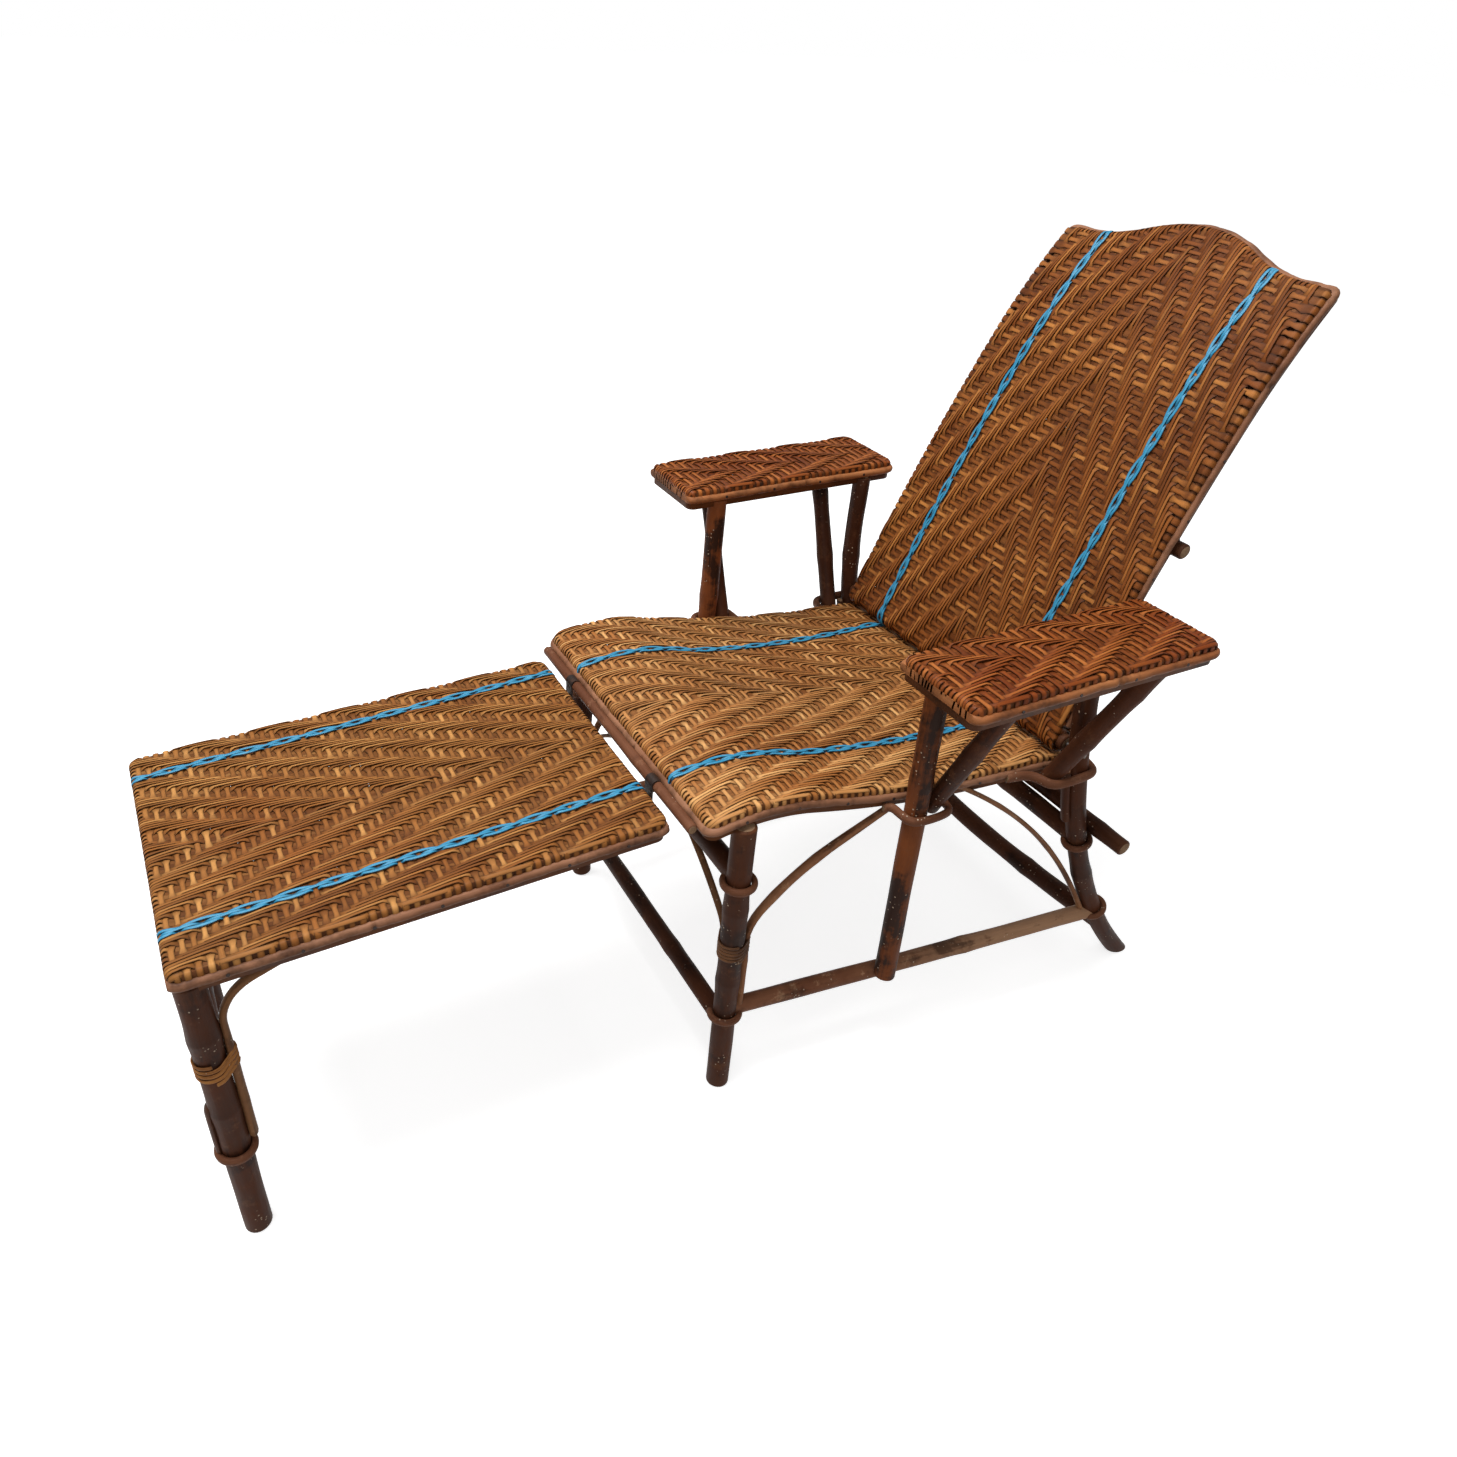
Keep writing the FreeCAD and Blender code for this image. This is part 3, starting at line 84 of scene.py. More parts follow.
class Finish:
    def __init__(self, name, world=None):
        # the nodes of a new material, or of the world when one is given
        self.material = world or bpy.data.materials.new(name)
        self.material.use_nodes = True
        self.tree = self.material.node_tree
        self.shader = self.tree.nodes["Background" if world else "Principled BSDF"]

    def node(self, kind, settings=None, values=None, out=0):
        made = self.tree.nodes.new(kind)
        for key, value in (settings or {}).items():
            if key == "stops":
                ramp = made.color_ramp
                while len(ramp.elements) < len(value):
                    ramp.elements.new(0.5)
                for element, (place, colour) in zip(ramp.elements, value):
                    element.position = place
                    element.color = colour
            else:
                setattr(made, key, value)
        for key, value in (values or {}).items():
            self.feed(made.inputs[key], value)
        return Wire(self, made.outputs[out])

    def feed(self, socket, value):
        if isinstance(value, Wire):
            self.tree.links.new(value.socket, socket)
        else:
            socket.default_value = value

    def blend(self, first, second, share):
        return self.node("ShaderNodeMix", {"data_type": "RGBA"}, {0: share, 6: first, 7: second}, out=2)

    def shade(self, colour, amount):
        # a colour made darker or lighter by a grey amount
        grey = self.node("ShaderNodeCombineColor", None, {0: amount, 1: amount, 2: amount})
        return self.node("ShaderNodeMix", {"data_type": "RGBA", "blend_type": "MULTIPLY"},
                         {0: 1.0, 6: colour, 7: grey}, out=2)

    def noise(self, place, scale, detail=3.0, rough=0.55):
        return self.node("ShaderNodeTexNoise", None,
                         {"Vector": place, "Scale": scale, "Detail": detail, "Roughness": rough})

    def between(self, value, low, high, least=0.0, most=1.0):
        return self.node("ShaderNodeMapRange", {"clamp": True},
                         {0: value, 1: low, 2: high, 3: least, 4: most})

    def joined(self, x, y, z=0.0):
        return self.node("ShaderNodeCombineXYZ", None, {0: x, 1: y, 2: z})

    def floor(self, value):
        return self.node("ShaderNodeMath", {"operation": "FLOOR"}, {0: value})

    def fate(self, seed):
        # one random value for each whole number
        return self.node("ShaderNodeTexWhiteNoise", {"noise_dimensions": "1D"}, {"W": seed})

    def pores(self, place, scale):
        return self.node("ShaderNodeTexVoronoi", {"feature": "F1"}, {"Vector": place, "Scale": scale})

    def alongAround(self):
        # the UV map "strand": metres along a strand or pole, and its number with the place round it
        parts = self.node("ShaderNodeSeparateXYZ", None, {0: self.node("ShaderNodeUVMap", {"uv_map": "strand"})})
        return parts, Wire(self, parts.socket.node.outputs[1])

    def value(self, name):
        # an attribute of the mesh
        return self.node("ShaderNodeAttribute", {"attribute_name": name}, None, out="Fac")

    def objectPlace(self, stretch=(1, 1, 1)):
        place = self.node("ShaderNodeTexCoord", None, None, out="Object")
        return self.node("ShaderNodeMapping", None, {"Vector": place, "Scale": stretch})

    def bump(self, height, strength, distance):
        return self.node("ShaderNodeBump", None, {"Height": height, "Strength": strength, "Distance": distance})

    def use(self, colour, rough, normal, metal=0.0, coat=0.0, coatRough=0.3, shine=0.12):
        self.feed(self.shader.inputs["Base Color"], colour)
        self.feed(self.shader.inputs["Roughness"], rough)
        self.feed(self.shader.inputs["Metallic"], metal)
        self.feed(self.shader.inputs["Coat Weight"], coat)
        self.feed(self.shader.inputs["Coat Roughness"], coatRough)
        self.feed(self.shader.inputs["Specular IOR Level"], shine)
        self.feed(self.shader.inputs["Normal"], normal)
        return self.material


# Cane strands

def strandFinish(name, look):
    f = Finish(name)
    along, number = f.alongAround()
    whole = f.floor(number)
    side = abs(number - whole - 0.5) * 2.0                # 0 on the strand's middle, 1 on its edges
    fate, second = f.fate(whole), f.fate(whole + 91.3)    # pale strands and brown strands
    streaks = f.noise(f.joined(along * 42.0, number * 6.0, whole * 3.7), 1.0, 4.0, 0.6)
    lengths = f.noise(f.joined(along * 9.0, whole * 1.7), 1.0, 2.0, 0.5)
    fibres = f.noise(f.joined(along * 90.0, number * 17.0, whole), 1.0, 3.0, 0.6)
    place = f.objectPlace()
    patches = f.between(f.noise(place, 5.5, 3.0, 0.5), 0.40, 0.64)
    stains = f.between(f.noise(place, 21.0, 4.0, 0.65), look["stainFrom"], look["stainFrom"] + 0.2)
    colour = f.blend(look["honey"], look["orange"], patches * look["orangeShare"])
    colour = f.blend(colour, look["pale"], f.between(fate + lengths * 0.5, 0.80, 1.25) * look["paleShare"])
    colour = f.blend(colour, look["brown"], f.between(second + lengths * 0.4, 0.84, 1.2) * look["brownShare"])
    colour = f.blend(colour, look["brown"], stains * look["stainShare"])
    # painted shade on the parts that lie below the stakes or the floats
    colour = f.blend(colour, look["deep"], f.value("deep") * look["deepShadeShare"])
    tone = 0.60 + streaks * 0.46 + fate * 0.30
    # painted shade darkens each strand's edges, where the gaps between strands are
    edge = 1.0 - (side ** 3.0) * look["edgeShade"]
    colour = f.shade(colour, tone * edge)
    rough = f.between(fibres, 0.3, 0.75, look["roughFrom"], look["roughFrom"] + 0.26)
    normal = f.bump(fibres + streaks * 0.6, 0.35, 0.0006)
    return f.use(colour, rough, normal, coat=look["coat"], coatRough=0.35)


def blueFinish(look):
    f = Finish("blueCane")
    along, number = f.alongAround()
    whole = f.floor(number)
    side = abs(number - whole - 0.5) * 2.0
    ribs = f.node("ShaderNodeMath", {"operation": "SINE"}, {0: number * 40.0 + along * 300.0})
    wear = f.between(f.noise(f.objectPlace(), 60.0, 4.0, 0.6), 0.50, 0.78)
    tone = f.noise(f.joined(along * 25.0, number * 4.0), 1.0)
    colour = f.blend(look["blue"], look["worn"], wear * 0.55)
    # painted shade where a blue strand dives or dips in a hole
    colour = f.blend(colour, look["deep"], f.value("deep") * 0.8)
    # tone varies at random; painted shade darkens each strand's edges
    colour = f.shade(colour, (0.80 + tone * 0.36) * (1.0 - (side ** 3.0) * 0.75))
    rough = f.between(wear, 0.0, 1.0, 0.32, 0.55)
    return f.use(colour, rough, f.bump(ribs + tone, 0.25, 0.0003), coat=0.05, shine=0.3)


# Bark of the poles. A grown pole has the UV map "strand" and the values "knot" and "tip"; a carried-over pole is
# read in object coordinates, with a stretch that is small along it.

def barkFinish(name, look, stretch=None):
    f = Finish(name)
    plain = f.objectPlace()
    if stretch is None:
        along, around = f.alongAround()
        knot, tip = f.value("knot"), f.value("tip")
        grain = f.noise(f.joined(along * 16.0, around * 9.0), 1.0, 5.0, 0.65)
        fibre = f.noise(f.joined(along * 60.0, around * 42.0), 1.0, 3.0, 0.6)
        streak = f.noise(f.joined(along * 5.0, around * 3.2, 4.0), 1.0, 4.0, 0.6)
    else:
        place = f.objectPlace(stretch)
        knot, tip = 0.0, 0.0
        grain = f.noise(place, 320.0, 5.0, 0.62)
        fibre = f.noise(place, 900.0, 2.0, 0.5)
        streak = f.noise(place, 90.0, 4.0, 0.6)
    clouds = f.between(f.noise(plain, 9.0, 4.0, 0.6), 0.38, 0.64)
    blots = f.between(f.noise(plain, 13.0, 5.0, 0.62) + streak * 0.5, look["blotFrom"], look["blotFrom"] + 0.10)
    scuffs = f.between(f.noise(plain, 38.0, 5.0, 0.72) + streak * 0.3, 0.72, 0.86)
    rare = f.between(f.noise(plain, 26.0, 3.0, 0.6), 0.54, 0.62)
    specks = f.between(f.pores(plain, 150.0), 0.20, 0.12) * rare
    colour = f.blend(look["bark"], look["red"], clouds)
    colour = f.blend(colour, look["worn"], scuffs * look["wornShare"])
    colour = f.blend(colour, look["worn"], tip * 0.12)
    if "paleFrom" in look:                                # bleached towards the far end
        colour = f.blend(colour, look["worn"], f.between(along, look["paleFrom"], look["paleTo"]) * 0.85)
    colour = f.blend(colour, look["dark"], blots * look["blotShare"])
    colour = f.blend(colour, look["dark"], knot * 0.2)
    colour = f.blend(colour, look["speck"], specks * look["speckShare"])
    colour = f.shade(colour, 0.62 + grain * 0.5 + fibre * 0.24)
    rough = f.between(grain + clouds * 0.25, 0.35, 0.9, 0.42, 0.68)
    normal = f.bump(grain + fibre * 0.5 + specks * 0.4, look["relief"], 0.0012)
    return f.use(colour, rough, normal, coat=look["coat"], coatRough=0.25, shine=0.08)


def sawnFinish(look):
    # a pole's sawn end: pale pith with dark pores, greyer at the bark
    f = Finish("sawnCane")
    place = f.objectPlace()
    pores = f.pores(place, 700.0)
    dirt = f.between(f.noise(place, 70.0, 4.0, 0.65), 0.42, 0.66)
    colour = f.blend(look["pith"], look["dirt"], dirt * look["dirtShare"])
    colour = f.shade(colour, f.between(pores, 0.0, 0.5, 0.55, 1.05))
    return f.use(colour, f.between(pores, 0.0, 0.6, 0.85, 0.62), f.bump(pores, 0.4, 0.0006))


def ironFinish(name, base, rust, metal):
    f = Finish(name)
    place = f.objectPlace()
    spots = f.between(f.noise(place, 130.0, 5.0, 0.7), 0.48, 0.68)
    fine = f.noise(place, 900.0, 3.0, 0.6)
    colour = f.shade(f.blend(base, rust, spots), 0.7 + fine * 0.6)
    rough = f.between(fine + spots * 0.4, 0.3, 1.0, 0.42, 0.75)
    return f.use(colour, rough, f.bump(fine + spots, 0.4, 0.0004), metal, shine=0.3)


# the deep colours and shares are painted shade for strand parts that lie below others; edgeShade is painted shade
# along each strand's edges
seatCane = {
    "honey": paint(178, 121, 68), "orange": paint(160, 96, 44), "pale": paint(212, 163, 104),
    "brown": paint(112, 64, 28), "deep": paint(84, 42, 14), "orangeShare": 0.75, "paleShare": 0.7,
    "brownShare": 0.6, "stainShare": 0.4, "stainFrom": 0.56, "deepShadeShare": 0.6, "edgeShade": 0.85,
    "roughFrom": 0.44, "coat": 0.03,
}
footCane = dict(seatCane, honey=paint(152, 98, 47), orange=paint(139, 79, 32), pale=paint(192, 140, 80),
                brown=paint(94, 52, 22), deep=paint(72, 34, 11))
backCane = dict(seatCane, honey=paint(139, 80, 33), orange=paint(121, 64, 23), pale=paint(180, 119, 59),
                brown=paint(84, 43, 16), deep=paint(66, 30, 9), orangeShare=0.8, stainShare=0.5)
armCane = dict(seatCane, honey=paint(137, 72, 28), orange=paint(123, 56, 18), pale=paint(172, 104, 50),
               brown=paint(86, 38, 14), deep=paint(66, 27, 9), orangeShare=0.9, stainShare=0.5, roughFrom=0.36,
               coat=0.06)
rimCane = dict(seatCane, honey=paint(146, 102, 76), orange=paint(117, 75, 52), pale=paint(174, 132, 102),
               brown=paint(62, 38, 26), orangeShare=0.9, brownShare=0.2, stainShare=0.8, stainFrom=0.47,
               deepShadeShare=0.5, edgeShade=0.2, roughFrom=0.46)
armRimCane = dict(rimCane, honey=paint(158, 100, 60), orange=paint(134, 78, 44), pale=paint(186, 130, 84))
# the blue's deep colour is painted shade for the holes and dives
blueLook = {"blue": paint(50, 138, 176), "worn": paint(108, 172, 202), "deep": paint(16, 50, 70)}
barkLook = {
    "bark": paint(58, 32, 20), "red": paint(80, 44, 26), "dark": paint(26, 16, 13), "worn": paint(118, 80, 54),
    "speck": paint(206, 184, 160), "wornShare": 0.35, "speckShare": 0.8, "relief": 0.35, "coat": 0.02,
    "blotFrom": 0.80, "blotShare": 0.7,
}
postLook = dict(barkLook, bark=paint(100, 55, 31), red=paint(126, 70, 37), dark=paint(30, 22, 19),
                blotFrom=0.74, blotShare=0.9)
wornLook = dict(barkLook, bark=paint(122, 80, 57), red=paint(98, 58, 40), dark=paint(50, 31, 23),
                worn=paint(178, 138, 106), wornShare=0.8, blotFrom=0.80, paleFrom=0.2, paleTo=0.45)
loopLook = dict(barkLook, bark=paint(94, 57, 39), red=paint(114, 73, 51), dark=paint(48, 29, 21),
                worn=paint(150, 108, 82), wornShare=0.5, blotFrom=0.84)
edgeLook = dict(barkLook, bark=paint(76, 44, 25), red=paint(96, 57, 31), worn=paint(98, 62, 40), wornShare=0.25,
                speckShare=0.0)
splitLook = dict(barkLook, bark=paint(112, 76, 50), red=paint(134, 94, 62), dark=paint(58, 36, 25),
                 worn=paint(176, 136, 98), wornShare=0.6, relief=0.3)
lashLook = dict(splitLook, bark=paint(158, 104, 56), red=paint(172, 116, 64), dark=paint(92, 54, 28),
                worn=paint(196, 146, 92))
archLook = dict(splitLook, bark=paint(134, 90, 62), red=paint(152, 106, 74), dark=paint(74, 46, 32),
                worn=paint(190, 150, 112))
sawnLook = {"pith": paint(150, 120, 92), "dirt": paint(92, 66, 50), "dirtShare": 0.7}

seatStrandFinish = strandFinish("seatCane", seatCane)
footStrandFinish = strandFinish("footCane", footCane)
backStrandFinish = strandFinish("backCane", backCane)
armStrandFinish = strandFinish("armCane", armCane)
rimStrandFinish = strandFinish("rimCane", rimCane)
armRimFinish = strandFinish("armRimCane", armRimCane)
stripeFinish = blueFinish(blueLook)
poleBark = barkFinish("poleBark", barkLook)
postBark = barkFinish("postBark", postLook)
edgeBark = barkFinish("edgeBark", edgeLook)
wornBark = barkFinish("wornBark", wornLook)
loopBark = barkFinish("loopBark", loopLook)
splitCane = barkFinish("splitCane", splitLook)
archCane = barkFinish("archCane", archLook)
lashCane = barkFinish("lashingCane", lashLook)
sawnCane = sawnFinish(sawnLook)
uprightBark = barkFinish("barkUpright", barkLook, (1, 1, 0.08))
crossBark = barkFinish("barkAcross", barkLook, (0.08, 1, 1))
longBark = barkFinish("barkLengthwise", barkLook, (1, 0.08, 1))
darkIron = ironFinish("darkIron", paint(48, 38, 34), paint(72, 48, 36), 0.45)
tackIron = ironFinish("tackIron", paint(44, 34, 30), paint(64, 44, 34), 0.4)
pinSteel = ironFinish("pinSteel", paint(120, 116, 112), paint(92, 78, 66), 0.9)
print("finishes made")


# Panel lines: the upper face's line seen from the side, as points with their distance along it

def sideLine(start, heading, moves, step=1.0):
    y, z = start
    way = math.radians(heading)
    rows = [(0.0, y, z, way)]
    gone = 0.0
    for size, turn in moves:
        length = size if turn == 0 else size * math.radians(abs(turn))
        count = max(2, int(length / step))
        for part in range(1, count + 1):
            s = length * part / count
            if turn == 0:
                rows.append((gone + s, y + s * math.cos(way), z + s * math.sin(way), way))
            else:
                bend = math.copysign(s / size, turn)
                sign = math.copysign(1, turn)
                rows.append((gone + s, y + size * sign * (math.sin(way + bend) - math.sin(way)),
                             z - size * sign * (math.cos(way + bend) - math.cos(way)), way + bend))
        gone, y, z, way = rows[-1]
    return np.array(rows)


outlineStep = 1.5       # between the points of an outline
cornerSteps = 8         # straight pieces in a rounded corner


def roundedOutline(low, high, end, corner):
    # a rectangle from x low to high and u 0 to end, counterclockwise, as points and outward ways
    points, ways = [], []
    centres = [((high - corner, corner), -90), ((high - corner, end - corner), 0),
               ((low + corner, end - corner), 90), ((low + corner, corner), 180)]
    for (cx, cy), first in centres:
        for part in range(cornerSteps + 1):
            angle = math.radians(first + part * 90 / cornerSteps)
            way = (math.cos(angle), math.sin(angle))
            points.append((cx + corner * way[0], cy + corner * way[1]))
            ways.append(way)
    return evenLoop(np.array(points), np.array(ways))


def evenLoop(points, ways):
    # points at even steps round an outline, the way outwards at each, and the distance round to it
    points = np.vstack([points, points[:1]])
    ways = np.vstack([ways, ways[:1]])
    reach = np.concatenate([[0], np.cumsum(np.linalg.norm(np.diff(points, axis=0), axis=1))])
    at = np.linspace(0, reach[-1], int(reach[-1] / outlineStep), endpoint=False)
    even = np.stack([np.interp(at, reach, points[:, k]) for k in (0, 1)], 1)
    out = np.stack([np.interp(at, reach, ways[:, k]) for k in (0, 1)], 1)
    out /= np.linalg.norm(out, axis=1)[:, None]
    return even, out, at


def nearest(loop, tree, x, u):
    # how far flat places lie outside an outline, with the place and the way outwards beside each
    points, out, _ = loop
    best = np.array([tree.find((a, b, 0))[1] for a, b in zip(x.tolist(), u.tolist())], int)
    p, n = points[best], out[best]
    dx, du = x - p[:, 0], u - p[:, 1]
    away = dx * n[:, 0] + du * n[:, 1]
    aside = -dx * n[:, 1] + du * n[:, 0]
    return away, p[:, 0] - n[:, 1] * aside, p[:, 1] + n[:, 0] * aside, n


foldRadius = 7.0
foldArc = foldRadius * math.pi / 2
foldReach = foldArc + 12.0      # a strand's length past the fold line: round the edge and down
foldTail = foldReach - foldRadius


class Panel:
    def __init__(self, name, body, line, loop, down, core):
        self.name, self.body, self.line, self.loop = name, body, line, loop
        self.inner = (loop[0] - loop[1] * foldRadius,) + loop[1:]       # the line where the fold begins
        self.tree = KDTree(len(self.inner[0]))
        for index, (a, b) in enumerate(self.inner[0].tolist()):
            self.tree.insert((a, b, 0), index)
        self.tree.balance()
        self.down = np.array(down)
        self.core = core            # x and u ranges that are surely inside the fold line

    def onLine(self, x, u, h):
        y, z, way = (np.interp(u, self.line[:, 0], self.line[:, k]) for k in (1, 2, 3))
        return np.stack([x, y - np.sin(way) * h, z + np.cos(way) * h], 1)

    def fold(self, x, u, h):
        # flat weave to the chair: past the outline it turns down round the edge
        x, u, h = x.copy(), u.copy(), h.copy()
        drop = np.zeros(len(x))
        lowX, highX, lowU, highU = self.core
        edge = np.where((x < lowX) | (x > highX) | (u < lowU) | (u > highU))[0]
        away, px, pu, n = nearest(self.inner, self.tree, x[edge], u[edge])
        past = away > 0
        edge, away, px, pu, n = edge[past], away[past], px[past], pu[past], n[past]
        angle = np.minimum(away / foldRadius, math.pi / 2)
        extra = np.maximum(away - foldArc, 0)
        out = (foldRadius + h[edge]) * np.sin(angle)
        x[edge] = px + n[:, 0] * out
        u[edge] = pu + n[:, 1] * out
        drop[edge] = foldRadius * (1 - np.cos(angle)) + extra
        h[edge] *= np.cos(angle)
        return (self.onLine(x, u, h) + self.down[None, :] * drop[:, None]) * mm

    def onEdge(self, at, out, drop):
        # a place beside the outline: distance round it, outwards and downwards
        points, ways, reach = self.loop
        total = self.around()
        at = np.mod(at, total)
        reach = np.append(reach, total)
        px, pu, nx, nu = (np.interp(at, reach, np.append(a[:, k], a[0, k])) for a in (points, ways) for k in (0, 1))
        flat = self.onLine(px + nx * out, pu + nu * out, np.zeros(len(px)))
        return (flat + self.down[None, :] * np.asarray(drop)[:, None]) * mm

    def around(self):
        # the outline's whole length
        reach = self.loop[2]
        return reach[-1] + (reach[1] - reach[0])


# Modelling helpers

def deselect():
    if bpy.context.object and bpy.context.object.mode != "OBJECT":
        bpy.ops.object.mode_set(mode="OBJECT")
    bpy.ops.object.select_all(action="DESELECT")


def named(name):
    made = bpy.context.object
    made.name = name
    made.data.name = name
    return made


def coords(piece):
    co = np.empty(len(piece.data.vertices) * 3, np.float32)
    piece.data.vertices.foreach_get("co", co)
    return co.reshape(-1, 3).astype(float)


def setCoords(piece, co):
    piece.data.vertices.foreach_set("co", np.ascontiguousarray(co, dtype=np.float32).ravel())
    piece.data.update()


def applyPlace():
    bpy.ops.object.transform_apply(location=True, rotation=True, scale=True)


def applyAll(piece):
    for modifier in list(piece.modifiers):
        bpy.ops.object.modifier_apply(modifier=modifier.name)


def startFrom(piece):
    deselect()
    bpy.context.view_layer.objects.active = piece
    piece.select_set(True)


def cutAlong(strand, cuts):
    # rings round a strand that lies along Y, in one or two rounds, because one round makes 100 cuts at most
    for number in ([cuts] if cuts <= 100 else [cuts // 2, 1]):
        deselect()
        bpy.context.view_layer.objects.active = strand
        bpy.ops.object.mode_set(mode="EDIT")
        bpy.ops.mesh.select_mode(type="EDGE")
        bpy.ops.mesh.select_all(action="DESELECT")
        bpy.ops.object.mode_set(mode="OBJECT")
        ends = np.empty(len(strand.data.edges) * 2, np.int32)
        strand.data.edges.foreach_get("vertices", ends)
        y = coords(strand)[:, 1][ends.reshape(-1, 2)]
        strand.data.edges.foreach_set("select", np.abs(y[:, 0] - y[:, 1]) > 0.001)
        bpy.ops.object.mode_set(mode="EDIT")
        bpy.ops.mesh.subdivide(number_cuts=number)
        bpy.ops.object.mode_set(mode="OBJECT")


strandSides = 6
besideGap = 20          # mm between the flat strands while they are made


def flatStrands(name, count, cuts, width, thick):
    # one strand along Y cut into short lengths, then copied side by side
    deselect()
    bpy.ops.mesh.primitive_cylinder_add(vertices=strandSides, radius=1, depth=1, rotation=(math.pi / 2, 0, 0))
    strand = named(name)
    applyPlace()
    co = coords(strand)
    co[:, 0] *= width / 2 / co[:, 0].max()
    co[:, 2] *= thick / 2
    setCoords(strand, co)
    cutAlong(strand, cuts)
    field = strand.modifiers.new("beside", "ARRAY")
    field.count = count
    field.use_relative_offset = False
    field.use_constant_offset = True
    field.constant_offset_displace = (besideGap, 0, 0)
    strand.select_set(True)
    applyAll(strand)
    co = coords(strand)
    number = np.round(co[:, 0] / besideGap).astype(int)
    ring = np.round((co[:, 1] + 0.5) * (len(np.unique(np.round(co[:, 1], 5))) - 1)).astype(int)
    return strand, number, ring, co[:, 0] - number * besideGap, co[:, 2]


fineSteps = 1200        # places along a strand where the density of its rings is worked out


def spacedRings(first, last, rings, density):
    # places of the rings along a strand, closer together where the density is higher
    fine = np.linspace(first, last, fineSteps)
    weight = density(fine)
    share = np.concatenate([[0], np.cumsum(weight[1:] + weight[:-1])])
    return np.interp(np.linspace(0, share[-1], rings), share, fine)


mapFill = 0.96          # share of its own row of the UV map that a strand's width takes


def strandMap(piece, along, number):
    # writes the UV map that the cane finishes read
    layer = piece.data.uv_layers.get("strand") or piece.data.uv_layers.new(name="strand")
    corners = np.empty(len(piece.data.loops), np.int32)
    piece.data.loops.foreach_get("vertex_index", corners)
    uv = np.stack([along[corners], number[corners]], 1)
    layer.data.foreach_set("uv", uv.astype(np.float32).ravel())


def setValue(piece, name, values):
    kept = piece.data.attributes.get(name) or piece.data.attributes.new(name, "FLOAT", "POINT")
    kept.data.foreach_set("value", np.asarray(values, np.float32))


def finishPiece(piece, body, finish, slot, *stoodFor, endFinish=None):
    startFrom(piece)
    bpy.ops.object.shade_smooth_by_angle(angle=math.radians(50))
    piece.data.materials.clear()
    piece.data.materials.append(finish)
    if endFinish is not None:       # on the sawn ends, the only faces with many corners
        piece.data.materials.append(endFinish)
        isEnd = [int(len(face.vertices) > 6) for face in piece.data.polygons]
        piece.data.polygons.foreach_set("material_index", isEnd)
    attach(piece, body)
    if stoodFor:
        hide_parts(*stoodFor)


def smoothStep(t):
    t = np.clip(t, 0, 1)
    return t * t * (3 - 2 * t)


# The woven panels: weavers run lengthwise over and under the cross stakes in a pointed twill

def phaseAt(w, distance, u):
    # rows counted from the head end; each weaver further out starts its float one row lower
    row = (w["head"] - u) / w["stakePitch"]
    return np.mod(row - distance, w["over"] + w["under"])


def weaveHeight(w, phase):
    total = w["over"] + w["under"]
    start = np.mod(phase + 0.5, total)                    # 0 to under: below the stakes
    ease = w["ease"]
    down = smoothStep((start + ease / 2) / ease) - smoothStep((start - w["under"] + ease / 2) / ease)
    down += smoothStep((start - total + ease / 2) / ease)
    down = np.clip(down, 0, 1)
    top = w["lift"]
    middle = (start - w["under"]) / w["over"]
    bulge = np.where(start > w["under"], np.sin(np.clip(middle, 0, 1) * math.pi), 0) * w["bulge"]
    return top + bulge - down * w["depth"], down


def weaveDrift(w, phase):
    # a float leans outwards over its length, and comes back straight below the stakes
    total = w["over"] + w["under"]
    start = np.mod(phase + 0.5, total)
    over = smoothStep((start - w["under"]) / w["over"])
    return np.where(start < w["under"], 0.5 - start / w["under"], over - 0.5) * w["drift"]


def wander(seed, at, size, wave):
    # a slow uneven bend along a strand, different for each seed and the same in every run
    a = np.modf(np.sin(seed * 12.9898) * 43758.5453)[0]
    b = np.modf(np.sin(seed * 78.233) * 12543.123)[0]
    return size * (np.sin(at / wave + a * 40) + 0.5 * np.sin(at / wave * 2.3 + b * 60)) / 1.5


def crossing(loop, x):
    # lowest and highest u of the outline at x, from its points closer than about one and a half steps
    points = loop[0]
    closeBy = 2.2
    low, high = [], []
    for value in x:
        near = points[np.abs(points[:, 0] - value) < closeBy]
        if len(near) == 0:
            near = points[np.abs(points[:, 0] - value).argsort()[:4]]
        low.append(near[:, 1].min())
        high.append(near[:, 1].max())
    return np.array(low), np.array(high)


def bentOver(panel, w, x, u, h):
    # flat weave bent over the panel, or round the pivot pole too where the weave has its own way
    return w["wrap"](panel, x, u, h) if "wrap" in w else panel.fold(x, u, h)


def stripeAt(w, stripe, u):
    # a blue stripe wanders sideways along the panel
    return np.interp(u, np.linspace(0, w["head"], len(stripe)), stripe)


